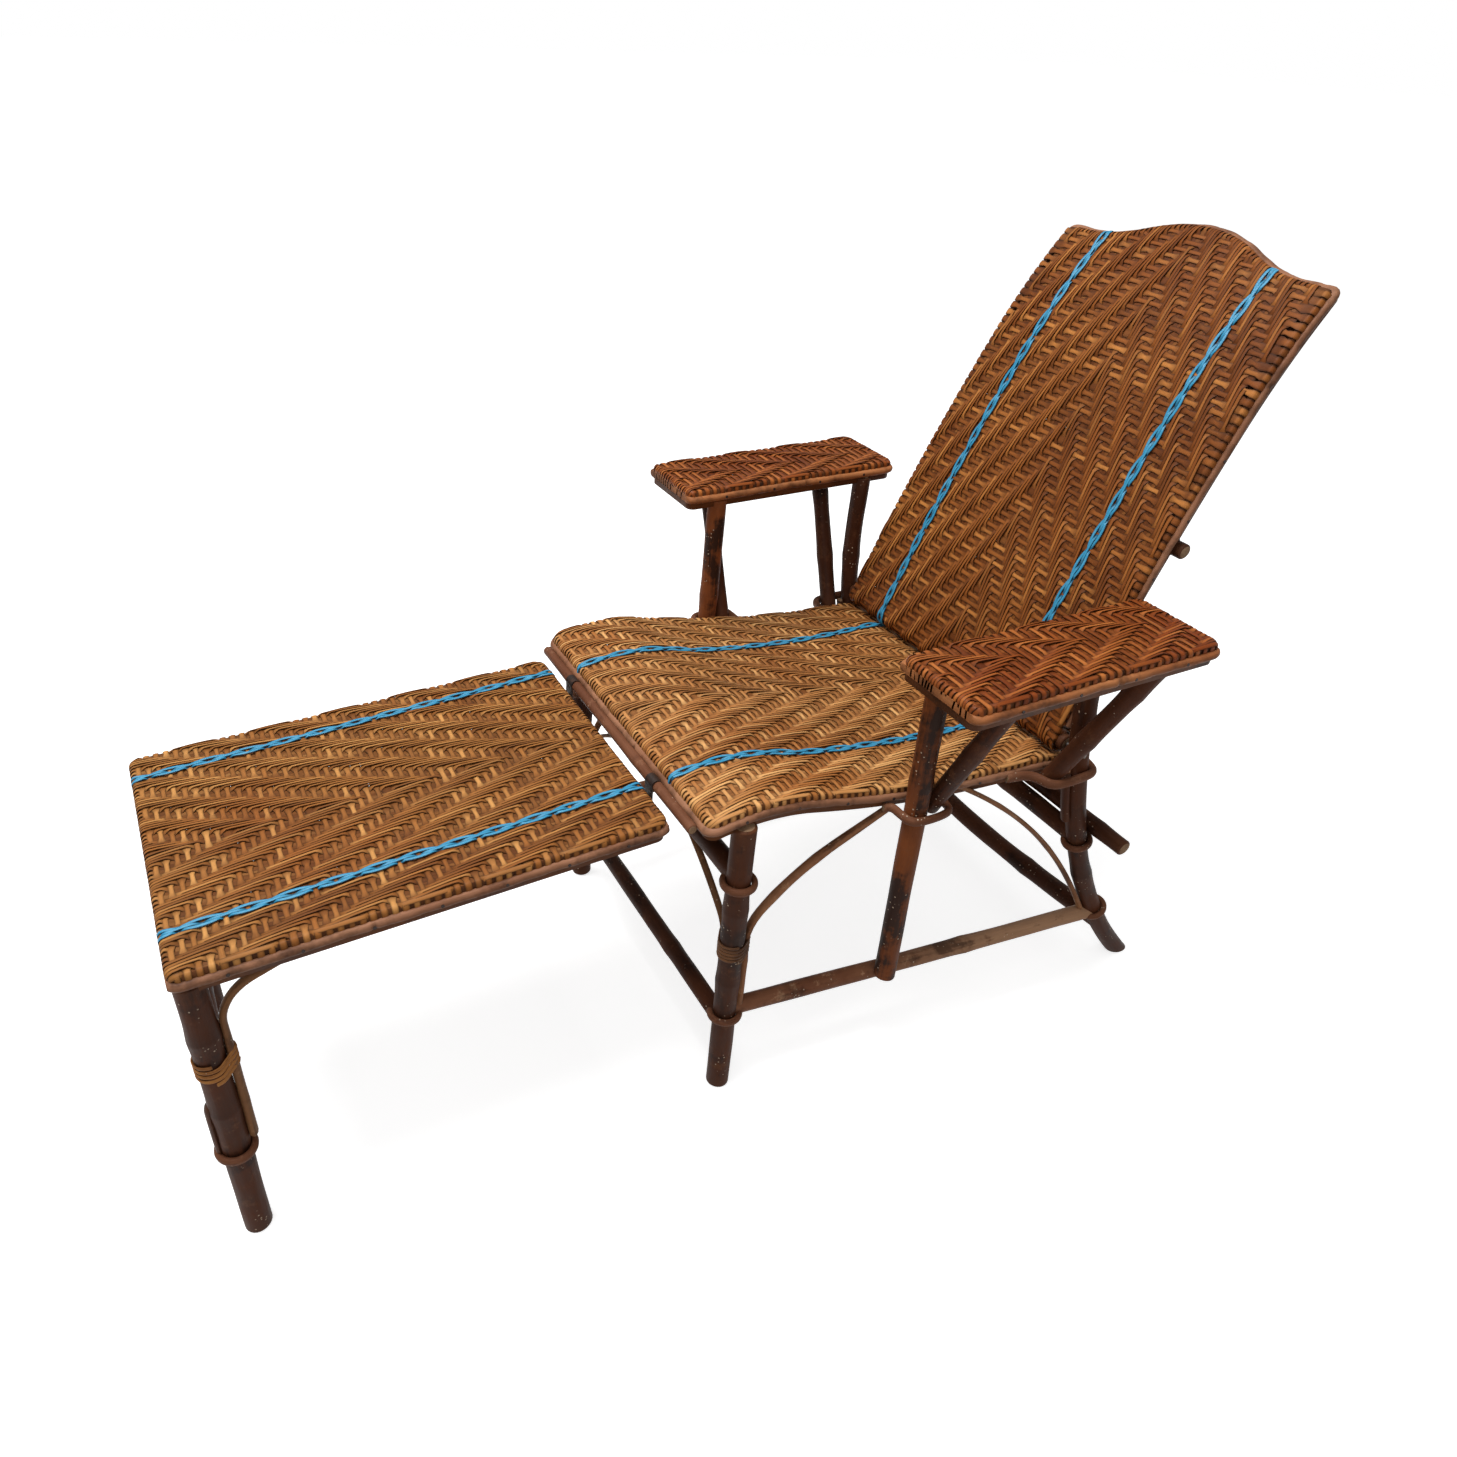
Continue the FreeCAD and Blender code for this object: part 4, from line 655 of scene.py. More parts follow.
def weaveWeavers(panel, w, finish, node):
    centre = w["centre"]
    places, distances, sides, pitches = [], [], [], {}
    for side in (-1, 1):
        reach = (w["right"] - centre if side > 0 else centre - w["left"]) - w["edgeGap"]
        pitches[side] = reach / round(reach / w["pitch"])
        for index in range(0 if side > 0 else 1, round(reach / w["pitch"]) + 1):
            places.append(side * index * pitches[side])
            distances.append(index)
            sides.append(0 if index == 0 else side)
    order = np.argsort(places)
    places, distances, sides = (np.array(a)[order] for a in (places, distances, sides))
    count = len(places)
    weavers, number, ring, localX, localH = flatStrands(
        panel.name + "_weavers", count, w["cuts"], w["width"], w["thick"])
    low, high = crossing(panel.loop, places + centre)
    tail = w.get("tailLow", foldTail)
    low = np.full(len(low), w["lowEdge"]) if "lowEdge" in w else low
    total = w["over"] + w["under"]

    def closer(at):
        # more rings where a weaver dives or bends down over an edge
        start = np.mod(phaseAt(w, distances[strand], at) + 0.5, total)
        near = np.minimum.reduce([start, np.abs(start - w["under"]), total - start])
        headFold = (high[strand] - 4 - at < 5) & (at - high[strand] < 8)
        footFold = (at - low[strand] < 9) & (low[strand] - at < 8)
        return 1 + 3.5 * np.exp(-(near / 0.6) ** 2) + 4.0 * (headFold | footFold)

    rings = ring.max() + 1
    table = []
    for strand in range(count):
        table.append(spacedRings(low[strand] - tail, high[strand] + foldReach - foldRadius, rings, closer))
    u = np.array(table)[number, ring]
    x = places[number].astype(float)
    phase = phaseAt(w, distances[number], u)
    height, down = weaveHeight(w, phase)
    ends = smoothStep((high[number] - w["calmFrom"] - u) / w["calmOver"])
    if "lowEdge" not in w:
        ends = ends * smoothStep((u - low[number] - w["calmFrom"]) / w["calmOver"])
    height = w["lift"] + (height - w["lift"]) * ends + wander(number + 0.5, u, 0.25, 23.0)
    down = down * ends
    fan = np.interp(u, *w["fan"]) if "fan" in w else 1.0
    for stripe in w["stripes"]:                           # the cane dives below the blue
        below = 1 - smoothStep((np.abs(centre + x * fan - stripeAt(w, stripe, u)) - w["stripeHalf"]) / 2.5)
        height = height + (w["lift"] - w["depth"] - height) * below * ends
        down = np.maximum(down, below * ends)
    outermost = np.abs(number - (count - 1) / 2) > (count - 2) / 2
    x = x + sides[number] * weaveDrift(w, phase) * (1 - outermost) + wander(number + 3.1, u, 0.35, 31.0)
    roll = np.where(sides[number] < 0, w["roll"], w["rightRoll"]) * (1 - down)
    grow = (1 + 0.06 * np.sin(number * 2.4)) * (w["slim"] + (w["broad"] - w["slim"]) * down)
    grow = 1.05 + (grow - 1.05) * ends
    flatX = centre + x * fan + localX * grow * (1 + 0.3 * outermost)
    h = height + localH + localX * roll
    strandMap(weavers, u * mm, number + 0.5 + localX / w["width"] * mapFill)
    # painted shade on the weavers where they lie below the stakes
    setValue(weavers, "deep", down)
    setCoords(weavers, bentOver(panel, w, flatX, u, h))
    finishPiece(weavers, panel.body, finish, "woven_cane", node)
    print(panel.name, "woven:", count, "weavers")
    return pitches


def weaveStakes(panel, w, finish, pitches):
    rows = np.arange(int((w["head"] + w["headRows"] * w["stakePitch"]) / w["stakePitch"]) + 1)
    lines = w["head"] - rows * w["stakePitch"]
    lines = lines[(lines > w["firstStake"]) & (lines < w["lastStake"])]
    stakes, number, ring, localU, localH = flatStrands(
        panel.name + "_stakes", len(lines), w["stakeCuts"], w["stakeWidth"], w["stakeThick"])
    rings = ring.max() + 1
    leftEdge, rightEdge = np.interp(lines, *w["leftEdge"]), np.interp(lines, *w["rightEdge"])

    def closer(at):
        return 1 + 4.0 * ((np.abs(at - left) < 8) | (np.abs(at - right) < 8))

    table = []
    for left, right in zip(leftEdge, rightEdge):
        table.append(spacedRings(left - foldTail, right + foldTail, rings, closer))
    line = lines[number]
    x = np.array(table)[number, ring]
    inside = np.minimum(x - leftEdge[number], rightEdge[number] - x)
    fan = np.interp(line, *w["fan"]) if "fan" in w else 1.0
    distance = np.abs(x - w["centre"]) / np.where(x > w["centre"], pitches[1], pitches[-1]) / fan
    total = w["over"] + w["under"]
    start = np.mod(phaseAt(w, distance, line) + 0.5, total)
    shown = smoothStep((start + 0.4) / 0.8) - smoothStep((start - w["under"] + 0.4) / 0.8)
    shown = np.clip(shown + smoothStep((start - total + 0.4) / 0.8), 0, 1)
    flat = smoothStep((inside - 1) / 6)
    level = w["stakeLevel"] + (shown - 0.5) * w["stakeWave"]
    h = w["foldLevel"] + (level - w["foldLevel"]) * flat + wander(number + 7.7, x, 0.2, 40.0) + localH
    thickness = 0.88 + 0.24 * np.modf(np.abs(np.sin(number * 3.3)) * 9.7)[0]
    hidden = smoothStep((0.4 - shown) / 0.4) * flat       # below the floats a stake lies flat and wide, and takes painted shade
    border = 1 - smoothStep((inside - 5) / 8)
    thickness = thickness * (1 + (w["edgeWide"] - 1) * border) * (1 + (w["spread"] - 1) * hidden * (1 - border))
    at = line + localU * thickness + wander(number + 1.3, x, 0.35, 60.0)
    strandMap(stakes, x * mm, number + 200.5 + localU / w["stakeWidth"] * mapFill)
    # painted shade on the stakes where they lie below the floats
    setValue(stakes, "deep", hidden)
    setCoords(stakes, bentOver(panel, w, x, at, h))
    finishPiece(stakes, panel.body, finish, "woven_cane")


# Blue strips worked into the cane: two outer strands that bow apart, and a middle one that dips in each hole

def blueStripe(name, panel, w, stripe):
    strands, number, ring, localX, localH = flatStrands(name, 3, w["blueCuts"], w["blueWidth"], w["blueThick"])
    middle = (stripe[0] + stripe[-1]) / 2
    low, high = crossing(panel.loop, [middle])
    first = w.get("lowEdge", low[0]) - w.get("tailLow", foldTail)
    last = high[0] + foldReach - foldRadius
    u = first + (last - first) * ring / ring.max()
    part = np.mod((w["head"] - u) / w["stakePitch"] - w["bluePhase"], 4) / 4       # 0 at a waist, 0.5 at a hole
    bow = np.sin(part * math.pi) ** 0.75
    top = w["lift"] + w["blueLift"]
    outX = np.select([number == 0, number == 2], [-w["blueBow"] * bow - 0.6, w["blueBow"] * bow + 0.9],
                     0.5 * np.sin(part * 2 * math.pi))
    dive = smoothStep((part - 0.86) / 0.1) + 1 - smoothStep((part - 0.04) / 0.1)
    hole = np.exp(-((part - 0.5) / 0.13) ** 2)
    height = np.select([number == 0, number == 2], [top + 0.2 * bow, top + 0.5 - 3.2 * dive],
                       top + 0.6 - w["blueDip"] * hole)
    # painted shade where the outer strand dives and where the middle one dips in a hole
    deep = np.select([number == 0, number == 2], [0.0, dive], hole)
    x = stripeAt(w, stripe, u) + outX + localX * (0.9 + 0.1 * bow) + wander(number + middle, u, 0.5, 37.0)
    h = height + localH
    strandMap(strands, u * mm, number + 0.5 + localX / w["blueWidth"] * mapFill)
    setValue(strands, "deep", deep)
    setCoords(strands, bentOver(panel, w, x, u, h))
    finishPiece(strands, panel.body, stripeFinish, "woven_cane")


# Things that run round a panel's edge

bandStep = 3.0          # between the rings of a strip round a panel


def edgeBand(name, panel, section, finish, slot, *stoodFor, shape=None, skip=0.0):
    # section: distance outwards and down; skip leaves that much of the outline free at its start and its end
    around = panel.around() - 2 * skip
    count = int(around / bandStep)
    deselect()
    bpy.ops.mesh.primitive_grid_add(x_subdivisions=count, y_subdivisions=len(section), size=1)
    band = named(name)
    co = coords(band)
    column = np.round((co[:, 0] + 0.5) * count).astype(int)
    row = np.round((co[:, 1] + 0.5) * len(section)).astype(int)
    section = np.array(section + section[:1], float)
    at = skip + column / count * around
    out, drop = section[row, 0], section[row, 1]
    if shape is not None:
        out, drop = shape(at, out, drop)
    strandMap(band, at * mm, 0.5 + row / len(section))
    setCoords(band, panel.onEdge(at, out, drop))
    bpy.ops.object.mode_set(mode="EDIT")
    bpy.ops.mesh.select_all(action="SELECT")
    bpy.ops.mesh.remove_doubles(threshold=0.00002)
    if skip:
        bpy.ops.mesh.fill_holes(sides=len(section))
    bpy.ops.mesh.normals_make_consistent(inside=False)
    bpy.ops.object.mode_set(mode="OBJECT")
    finishPiece(band, panel.body, finish, slot, *stoodFor)


def rimShape(at, out, drop):
    # the strip is split cane of uneven thickness, with a notch where two lengths meet
    joint = np.exp(-((np.mod(at, 430.0) - 215.0) / 2.4) ** 2)
    pits = np.clip(np.sin(at / 9.1) * np.sin(at / 23.7) * np.sin(at / 5.1 + drop) - 0.45, 0, 1) * 2.2
    out = out * (1 + 0.09 * np.sin(at / 17.0) + 0.06 * np.sin(at / 6.3)) - joint * np.clip(out, 0, 9) * 0.65
    return out - pits * (out > 2), drop + 0.5 * np.sin(at / 41.0) + 0.2 * np.sin(at / 7.7)


# sections of the strip nailed round a panel and of the pole inside its edge: distance outwards and down
halfRound = [(-1.0, 9.2), (1.6, 9.0), (4.0, 10.4), (5.2, 13.0), (5.3, 15.2), (4.3, 17.8), (2.0, 19.4), (-1.0, 19.4)]
underBand = [(-9.0, 4.0), (-3.6, 3.2), (-2.0, 5.0), (-2.0, 29.6), (-3.4, 30.8), (-8.2, 30.8), (-9.2, 26.0)]
bothSides = (("left", -1), ("right", 1))


def dressEdge(panel, rimNode, finish, skip):
    edgeBand(panel.name + "_rim_strip", panel, halfRound, finish, "split_cane", rimNode, shape=rimShape, skip=skip)
    edgeBand(panel.name + "_edge_pole", panel, underBand, edgeBark, "rattan_pole", skip=skip)


def weavePanel(panel, w, finish, node, rimNode, rimFinish=rimStrandFinish, skip=0.0):
    pitches = weaveWeavers(panel, w, finish, node)
    weaveStakes(panel, w, finish, pitches)
    for (word, _), stripe in zip(bothSides, w["stripes"]):
        blueStripe(panel.name + "_blue_" + word, panel, w, stripe)
    dressEdge(panel, rimNode, rimFinish, skip)


twill = {
    "over": 5, "under": 3, "pitch": 5.6, "stakePitch": 11.6, "centre": 0.0, "edgeGap": 3.0, "headRows": 3,
    # weavers: slim on top and broad below the stakes; drift and roll lean the floats; calm is flat before the fold
    "width": 5.2, "thick": 2.5, "cuts": 98, "slim": 0.82, "broad": 2.6, "lift": -1.0, "bulge": 0.9, "depth": 3.0,
    "ease": 0.9, "drift": 5.0, "roll": 0.20, "rightRoll": 0.13, "calmFrom": 4, "calmOver": 8,
    # stakes: spread wide below the floats, and edgeWide at the borders
    "stakeWidth": 5.9, "stakeThick": 2.3, "stakeCuts": 56, "stakeLevel": -2.4, "stakeWave": 0.9, "foldLevel": -1.0,
    "spread": 2.15, "edgeWide": 1.3,
    # blue strips
    "blueWidth": 4.0, "blueThick": 2.0, "blueCuts": 150, "bluePhase": 2.0, "blueBow": 4.3, "blueDip": 3.4,
    "blueLift": 1.4, "stripeHalf": 6.0,
}
surelyInside = 14       # mm from the outline, where no fold begins


def straightPart(name, body, line, length, low, high, corner, **own):
    # the panel and the weave of a part with straight sides, x low to high
    loop = roundedOutline(low, high, length, corner)
    core = (low + surelyInside, high - surelyInside, surelyInside, length - surelyInside)
    w = dict(twill, head=length - 4.0, left=low, right=high, firstStake=5.0, lastStake=length - 3.0,
             leftEdge=([0, length], [low, low]), rightEdge=([0, length], [high, high]), **own)
    return Panel(name, body, line, loop, (0, 0, -1), core), w


# Footrest
footSizes = {"front": (-727.0, 452.0), "run": 559.0, "rise": 17.0, "half": 203.0, "corner": 16.0,
             "stripes": [(-151.0, -162.0), (137.0, 127.0)]}
footLength = math.hypot(footSizes["run"], footSizes["rise"])
footHeading = math.degrees(math.atan2(footSizes["rise"], footSizes["run"]))
footPanel, footWeave = straightPart(
    "footrest", "footrest", sideLine(footSizes["front"], footHeading, [(footLength, 0)]), footLength,
    -footSizes["half"], footSizes["half"], footSizes["corner"], stripes=footSizes["stripes"])
weavePanel(footPanel, footWeave, footStrandFinish, "footrest_panel", "footrest_rim")

# Seat: a hump in front, a long hollow, and a step down below the back's roll
seatSizes = {
    "lineFrom": -159.0, "hump": (-65.0, 191.0), "humpRadius": 300.0, "humpEnd": 75.0, "hollowRadius": 1668.0,
    "hollowRun": 375.0, "step": [(110.0, -16.3), (55.0, 16.3), (16.0, 0)], "front": -139.0, "rear": 435.0,
    "half": 245.0, "corner": 16.0, "stripes": [(-140.0, -131.0, -146.0, -160.0), (142.0, 152.0, 146.0, 143.0)],
}
humpRadius, hollowRadius = seatSizes["humpRadius"], seatSizes["hollowRadius"]
seatRise = (seatSizes["lineFrom"] - seatSizes["hump"][0]) / humpRadius
seatHeading = -math.degrees(math.asin(seatRise))
seatFrom = (seatSizes["lineFrom"], seatSizes["hump"][1] + humpRadius * math.cos(math.asin(seatRise)))
seatLine = sideLine(seatFrom, seatHeading, [
    (humpRadius, -seatHeading - math.degrees(math.asin(seatSizes["humpEnd"] / humpRadius))),
    (hollowRadius, math.degrees(seatSizes["hollowRun"] / hollowRadius)), *seatSizes["step"]])
seatStart = np.interp(seatSizes["front"], seatLine[:, 1], seatLine[:, 0])
seatLength = np.interp(seatSizes["rear"], seatLine[:, 1], seatLine[:, 0]) - seatStart
seatLine[:, 0] -= seatStart                               # distance 0 at the seat's front edge
seatPanel, seatWeave = straightPart("seat", "base", seatLine, seatLength, -seatSizes["half"], seatSizes["half"],
                                    seatSizes["corner"], stripes=seatSizes["stripes"])
weavePanel(seatPanel, seatWeave, seatStrandFinish, "seat_panel", "seat_rim")

# Arms
armSizes = {"front": (89.0, 665.0), "length": 376.0, "inner": 255.0, "outer": 384.0, "corner": 14.0, "ridge": 310.0}
armTwill = {"over": 4, "under": 4, "pitch": 5.7, "stakePitch": 12.6, "cuts": 64, "stakeCuts": 30, "stripes": []}
for word, side in bothSides:
    low, high = sorted((side * armSizes["inner"], side * armSizes["outer"]))
    armLine = sideLine(armSizes["front"], 0.0, [(armSizes["length"], 0)])
    armPanel, armWeave = straightPart("arm_" + word, "base", armLine, armSizes["length"], low, high,
                                      armSizes["corner"])
    armWeave.update(armTwill, centre=side * armSizes["ridge"])
    weavePanel(armPanel, armWeave, armStrandFinish, "arm_panel_" + word, "arm_rim_" + word, armRimFinish)

# Back
backSizes = {
    "pivot": (421.0, 444.0), "footGap": 18.3, "lean": 70.0, "bends": [(3557.0, -7.2), (832.0, -12.8), (832.0, -5.0)],
    "half": 240.5, "headHalf": 216.5, "corner": 8, "crestRadius": 208.0, "crestTurn": 25.33, "crestFrom": 178.0,
    "crestRise": 40, "lowRow": -140.0, "rimFrom": 23.0, "stripes": [(-153.0, -140.0), (139.0, 131.0)],
}
pivotY, pivotZ = backSizes["pivot"]
footGap = backSizes["footGap"]
backLean = math.radians(backSizes["lean"])
backFoot = (pivotY - math.sin(backLean) * footGap, pivotZ + math.cos(backLean) * footGap)
backLine = sideLine(backFoot, backSizes["lean"], backSizes["bends"])
cornerReach = sum(radius * math.radians(-turn) for radius, turn in backSizes["bends"][:2])
corner = np.array([np.interp(cornerReach, backLine[:, 0], backLine[:, k]) for k in (1, 2)])
backWay = corner - np.array(backFoot)
backHeight = np.linalg.norm(backWay)
backWay /= backHeight
chord = (backLine[:, 1:3] - np.array(backFoot)) @ backWay
taper = math.atan((backSizes["half"] - backSizes["headHalf"]) / backHeight)


def backOutline():
    # in chord distance first, then carried to distance along the curved line
    points, ways = [], []
    half, headHalf, bend = backSizes["half"], backSizes["headHalf"], backSizes["corner"]
    sideSteps, bendSteps, crestSteps = 60, 6, 12
    for part in range(sideSteps):
        run = (backHeight - bend - 1) * part / sideSteps
        points.append((half - run * math.tan(taper), run))
        ways.append((math.cos(taper), math.sin(taper)))
    for part in range(bendSteps + 1):
        angle = taper + (math.pi / 2 - taper) * part / bendSteps
        points.append((headHalf - bend + bend * math.cos(angle), backHeight - bend + bend * math.sin(angle)))
        ways.append((math.cos(angle), math.sin(angle)))
    radius, crestTurn = backSizes["crestRadius"], math.radians(backSizes["crestTurn"])
    for part in range(crestSteps + 1):                    # the hollow beside the crest
        turn = crestTurn * part / crestSteps
        points.append((backSizes["crestFrom"] - radius * math.sin(turn), backHeight + radius * (1 - math.cos(turn))))
        ways.append((math.sin(turn), math.cos(turn)))
    for part in range(1, crestSteps + 1):                 # the crest
        turn = crestTurn * (1 - part / crestSteps)
        points.append((radius * math.sin(turn), backHeight + backSizes["crestRise"] - radius * (1 - math.cos(turn))))
        ways.append((math.sin(turn), math.cos(turn)))
    points += [(-x, run) for x, run in points[-2::-1]]
    ways += [(-a, b) for a, b in ways[-2::-1]]
    points = np.array(points)
    points[:, 1] = np.interp(points[:, 1], chord, backLine[:, 0])
    return points, np.array(ways)


# the foot edge is far below zero for the fold, because the weave goes on round the pivot pole
lowRow = backSizes["lowRow"]
backPoints, backWays = backOutline()
backPoints = np.vstack([[(backSizes["half"], lowRow)], backPoints, [(-backSizes["half"], lowRow)]])
backWays = np.vstack([[(1.0, 0.0)], backWays, [(-1.0, 0.0)]])
backLoop = evenLoop(backPoints, backWays)
aboveFoot = backLoop[0][:, 1] > lowRow + 1
backLoop = tuple(rows[aboveFoot] for rows in backLoop)
coreHalf, farBelow = 205, -900                            # no fold at the foot, where the weave goes on
backPanel = Panel("back", "back", backLine, backLoop, (0.0, backWay[1], -backWay[0]),
                  (-coreHalf, coreHalf, farBelow, cornerReach - surelyInside))


def roundPole(panel, x, u, h):
    # below the panel's foot the weave goes round the pivot pole, a little tighter and narrower
    tuck, half = 0.2, backSizes["half"] - 0.5
    placed = panel.fold(x, np.maximum(u, 0), h)
    under = u < 0
    way = math.pi / 2 + backLean - u[under] / footGap
    reach = footGap + h[under] - tuck
    kept = np.clip(x[under], -half, half)
    placed[under] = np.stack([kept, pivotY + np.cos(way) * reach, pivotZ + np.sin(way) * reach], 1) * mm
    return placed


# half the back's width where a stake ends: up the sides, then over the crest
backEdgeRows = [0] + [cornerReach + rise for rise in (-5, 0, 1, 5, 10, 20, 30, 36)]
backEdge = [backSizes["half"], 216.8, 200.0, 157.6, 132.7, 114.3, 89.0, 63.7, 41.0]
crestReach = backEdgeRows[-1]
backWeave = dict(
    twill, over=4, pitch=6.4, stakePitch=11.3, width=5.3, cuts=130, drift=4.4, slim=0.9, edgeWide=1.55,
    head=crestReach, left=-backSizes["half"], right=backSizes["half"], stripes=backSizes["stripes"],
    firstStake=-84.0, lastStake=crestReach, headRows=8, wrap=roundPole, tailLow=88.0, lowEdge=0.0,
    fan=([0, cornerReach], [1.0, backSizes["headHalf"] / backSizes["half"]]),
    leftEdge=(backEdgeRows, [-x for x in backEdge]), rightEdge=(backEdgeRows, backEdge))
weavePanel(backPanel, backWeave, backStrandFinish, "back_panel", "back_rim", skip=backSizes["rimFrom"] - lowRow)
print("panels woven")


# Poles and canes: a cylinder cut into rings, then bent along its path, with the swellings where leaves once grew

def growTube(path, radius, rings, sides, knots=(), squash=(1.0, 1.0), tip=2.5, bow=(0, 0, 0), seed=0.0,
             broad=None):
    # path: the middle line; knots: joints of growth along it; squash: flattening across and up; tip: length of the
    # rounded ends; bow: sag of the middle; broad: places along it and how much wider it is there
    path = np.array(path, float)
    legs = np.concatenate([[0], np.cumsum(np.linalg.norm(np.diff(path, axis=0), axis=1))])
    length = legs[-1]
    deselect()
    bpy.ops.mesh.primitive_cylinder_add(vertices=sides, radius=1, depth=1, rotation=(math.pi / 2, 0, 0))
    tube = bpy.context.object
    applyPlace()
    cutAlong(tube, rings)
    co = coords(tube)
    ring = np.round((co[:, 1] + 0.5) * (rings + 1)).astype(int)
    angle = np.arctan2(co[:, 2], co[:, 0])

    def closer(at):
        dense = 1 + 6 * np.exp(-((length / 2 - np.abs(at - length / 2)) / (1.5 * tip)) ** 2) * length / 200
        for knot in knots:
            dense = dense + 5 * np.exp(-((at - knot) / 6) ** 2)
        return dense

    at = spacedRings(0, length, rings + 2, closer)
    centre = np.stack([np.interp(at, legs, path[:, k]) for k in range(3)], 1)
    centre += np.sin(at / length * math.pi)[:, None] * np.array(bow, float)
    tangent = np.gradient(centre, axis=0)
    tangent /= np.linalg.norm(tangent, axis=1)[:, None]
    normal = np.linalg.svd(path - path.mean(0))[2][2]
    across = np.cross(tangent, normal)
    across /= np.linalg.norm(across, axis=1)[:, None]
    up = np.cross(across, tangent)
    near = np.minimum(at, length - at)
    size = radius * (1 - 0.22 * (1 - np.clip(near / tip, 0, 1)) ** 2) * (1 + wander(seed + 0.3, at, 0.02, 37.0))
    mark = np.zeros(len(at))
    for knot in knots:
        gap = at - knot
        size = size + radius * (0.07 * np.exp(-(gap / 15.0) ** 2) + 0.012 * np.exp(-(gap / 3.0) ** 2))
        mark = np.maximum(mark, 0.8 * np.exp(-((gap - 4.0) / 3.0) ** 2))
    lump = 1 + 0.018 * np.sin(2 * angle + seed) + 0.012 * np.sin(3 * angle + at[ring] / 33.0 + seed)
    reach = (size[ring] * lump)[:, None]
    if broad:
        reach = reach * np.interp(at, *broad)[ring][:, None]
    placed = centre[ring] + reach * (across[ring] * (np.cos(angle) * squash[0])[:, None]
                                     + up[ring] * (np.sin(angle) * squash[1])[:, None])
    strandMap(tube, at[ring] * mm, 2 * round(seed) + np.abs(angle) / math.pi)
    setValue(tube, "knot", mark[ring])
    setValue(tube, "tip", np.exp(-(near[ring] / 18.0) ** 2))
    setCoords(tube, placed * mm)
    return tube


def joinTubes(name, tubes):
    deselect()
    for tube in tubes:
        tube.select_set(True)
    bpy.context.view_layer.objects.active = tubes[0]
    if len(tubes) > 1:
        bpy.ops.object.join()
    bpy.ops.object.mode_set(mode="EDIT")
    bpy.ops.mesh.select_all(action="SELECT")
    bpy.ops.mesh.normals_make_consistent(inside=False)
    bpy.ops.object.mode_set(mode="OBJECT")
    return named(name)


def sawnLevel(tube):
    # the foot is cut level with the floor
    startFrom(tube)
    bpy.ops.object.mode_set(mode="EDIT")
    bpy.ops.mesh.select_all(action="SELECT")
    bpy.ops.mesh.bisect(plane_co=(0, 0, 0), plane_no=(0, 0, 1), use_fill=True, clear_inner=True)
    bpy.ops.object.mode_set(mode="OBJECT")
    return tube


def poles(name, body, tubes, finish, slot, *stoodFor):
    finishPiece(joinTubes(name, tubes), body, finish, slot, *stoodFor, endFinish=sawnCane)


def barkPole(node, body, tubes, finish=poleBark):
    poles(node + "_bark", body, tubes, finish, "rattan_pole", node)


def mirrored(path, side):
    return np.array(path, float) * (side, 1, 1)


def crossLine(half, y, z):
    # a straight line from side to side
    return [(-half, y, z), (half, y, z)]


def grown(pole, side=1, **more):
    # one tube as a pole's dictionary says, on the right side or mirrored to the left
    shape = dict(pole, **more)
    return growTube(mirrored(shape.pop("path"), side), **shape)


def ringPath(centre, axis, start, turn, radius):
    # a part of a ring round an axis, from the way start
    axis = np.array(axis, float) / np.linalg.norm(axis)
    start = np.array(start, float)
    start -= axis * start.dot(axis)
    start /= np.linalg.norm(start)
    aside = np.cross(axis, start)
    angles = np.radians(np.linspace(0, turn, 30))[:, None]
    return np.array(centre) + radius * (np.cos(angles) * start + np.sin(angles) * aside)


def softened(points, rounds=4):
    # corners cut off again and again, which leaves a smooth bend
    points = np.array(points, float)
    for _ in range(rounds):
        first, second = points[:-1], points[1:]
        cut = np.stack([first * 0.75 + second * 0.25, first * 0.25 + second * 0.75], 1)
        points = np.vstack([points[:1], cut.reshape(-1, points.shape[1]), points[-1:]])
    return points


def hullPath(circles, turns, low, pitch, lean, margin):
    # round the outside of several upright poles, rising a pitch each turn; lean tips the turns along Y
    ways = np.linspace(0, 2 * math.pi * turns, int(36 * turns))
    rows = []
    for way in ways:
        out = np.array([math.cos(way), math.sin(way)])
        x, y, radius = max(circles, key=lambda c: c[0] * out[0] + c[1] * out[1] + c[2])
        rise = low + pitch * way / (2 * math.pi) + lean * (y - circles[0][1])
        rows.append((x + out[0] * (radius + margin), y + out[1] * (radius + margin), rise))
    return np.array(rows)


# The frame's sizes: legs as x, y and radius, the rest heights and distances
frameSizes = {
    "frontLeg": (242.0, -90.0, 16.0), "rearLeg": (262.0, 410.0, 14.0), "rearBend": 600.0, "rearBendRadius": 903.0,
    "rearSplay": 2.77, "wrapHug": 4.1, "frontRail": 382.0, "rearRail": 284.0, "collarDrop": 7.0, "sideFront": 146.0,
    "sideRear": 114.0, "frontCross": 121.0, "rearCross": 86.0, "armUnder": 644.6, "postY": 145.0, "postRadius": 14.5,
    "postTopX": 266.0, "postGap": 0.3, "stretcher": 11.0,
}


def rearLegAt(height):
    # the right rear leg's middle at a height: upright above the bend, on an arc and splayed below it
    height = np.asarray(height, float)
    x, y, _ = frameSizes["rearLeg"]
    fall = np.maximum(frameSizes["rearBend"] - height, 0)
    back = frameSizes["rearBendRadius"] - np.sqrt(frameSizes["rearBendRadius"] ** 2 - fall ** 2)
    x = x + fall * math.tan(math.radians(frameSizes["rearSplay"]))
    return np.stack(np.broadcast_arrays(x, y + back, height), -1)


def rearLegAxis(height):
    tilt = math.asin((frameSizes["rearBend"] - height) / frameSizes["rearBendRadius"])
    return np.array([0, -math.sin(tilt), math.cos(tilt)])


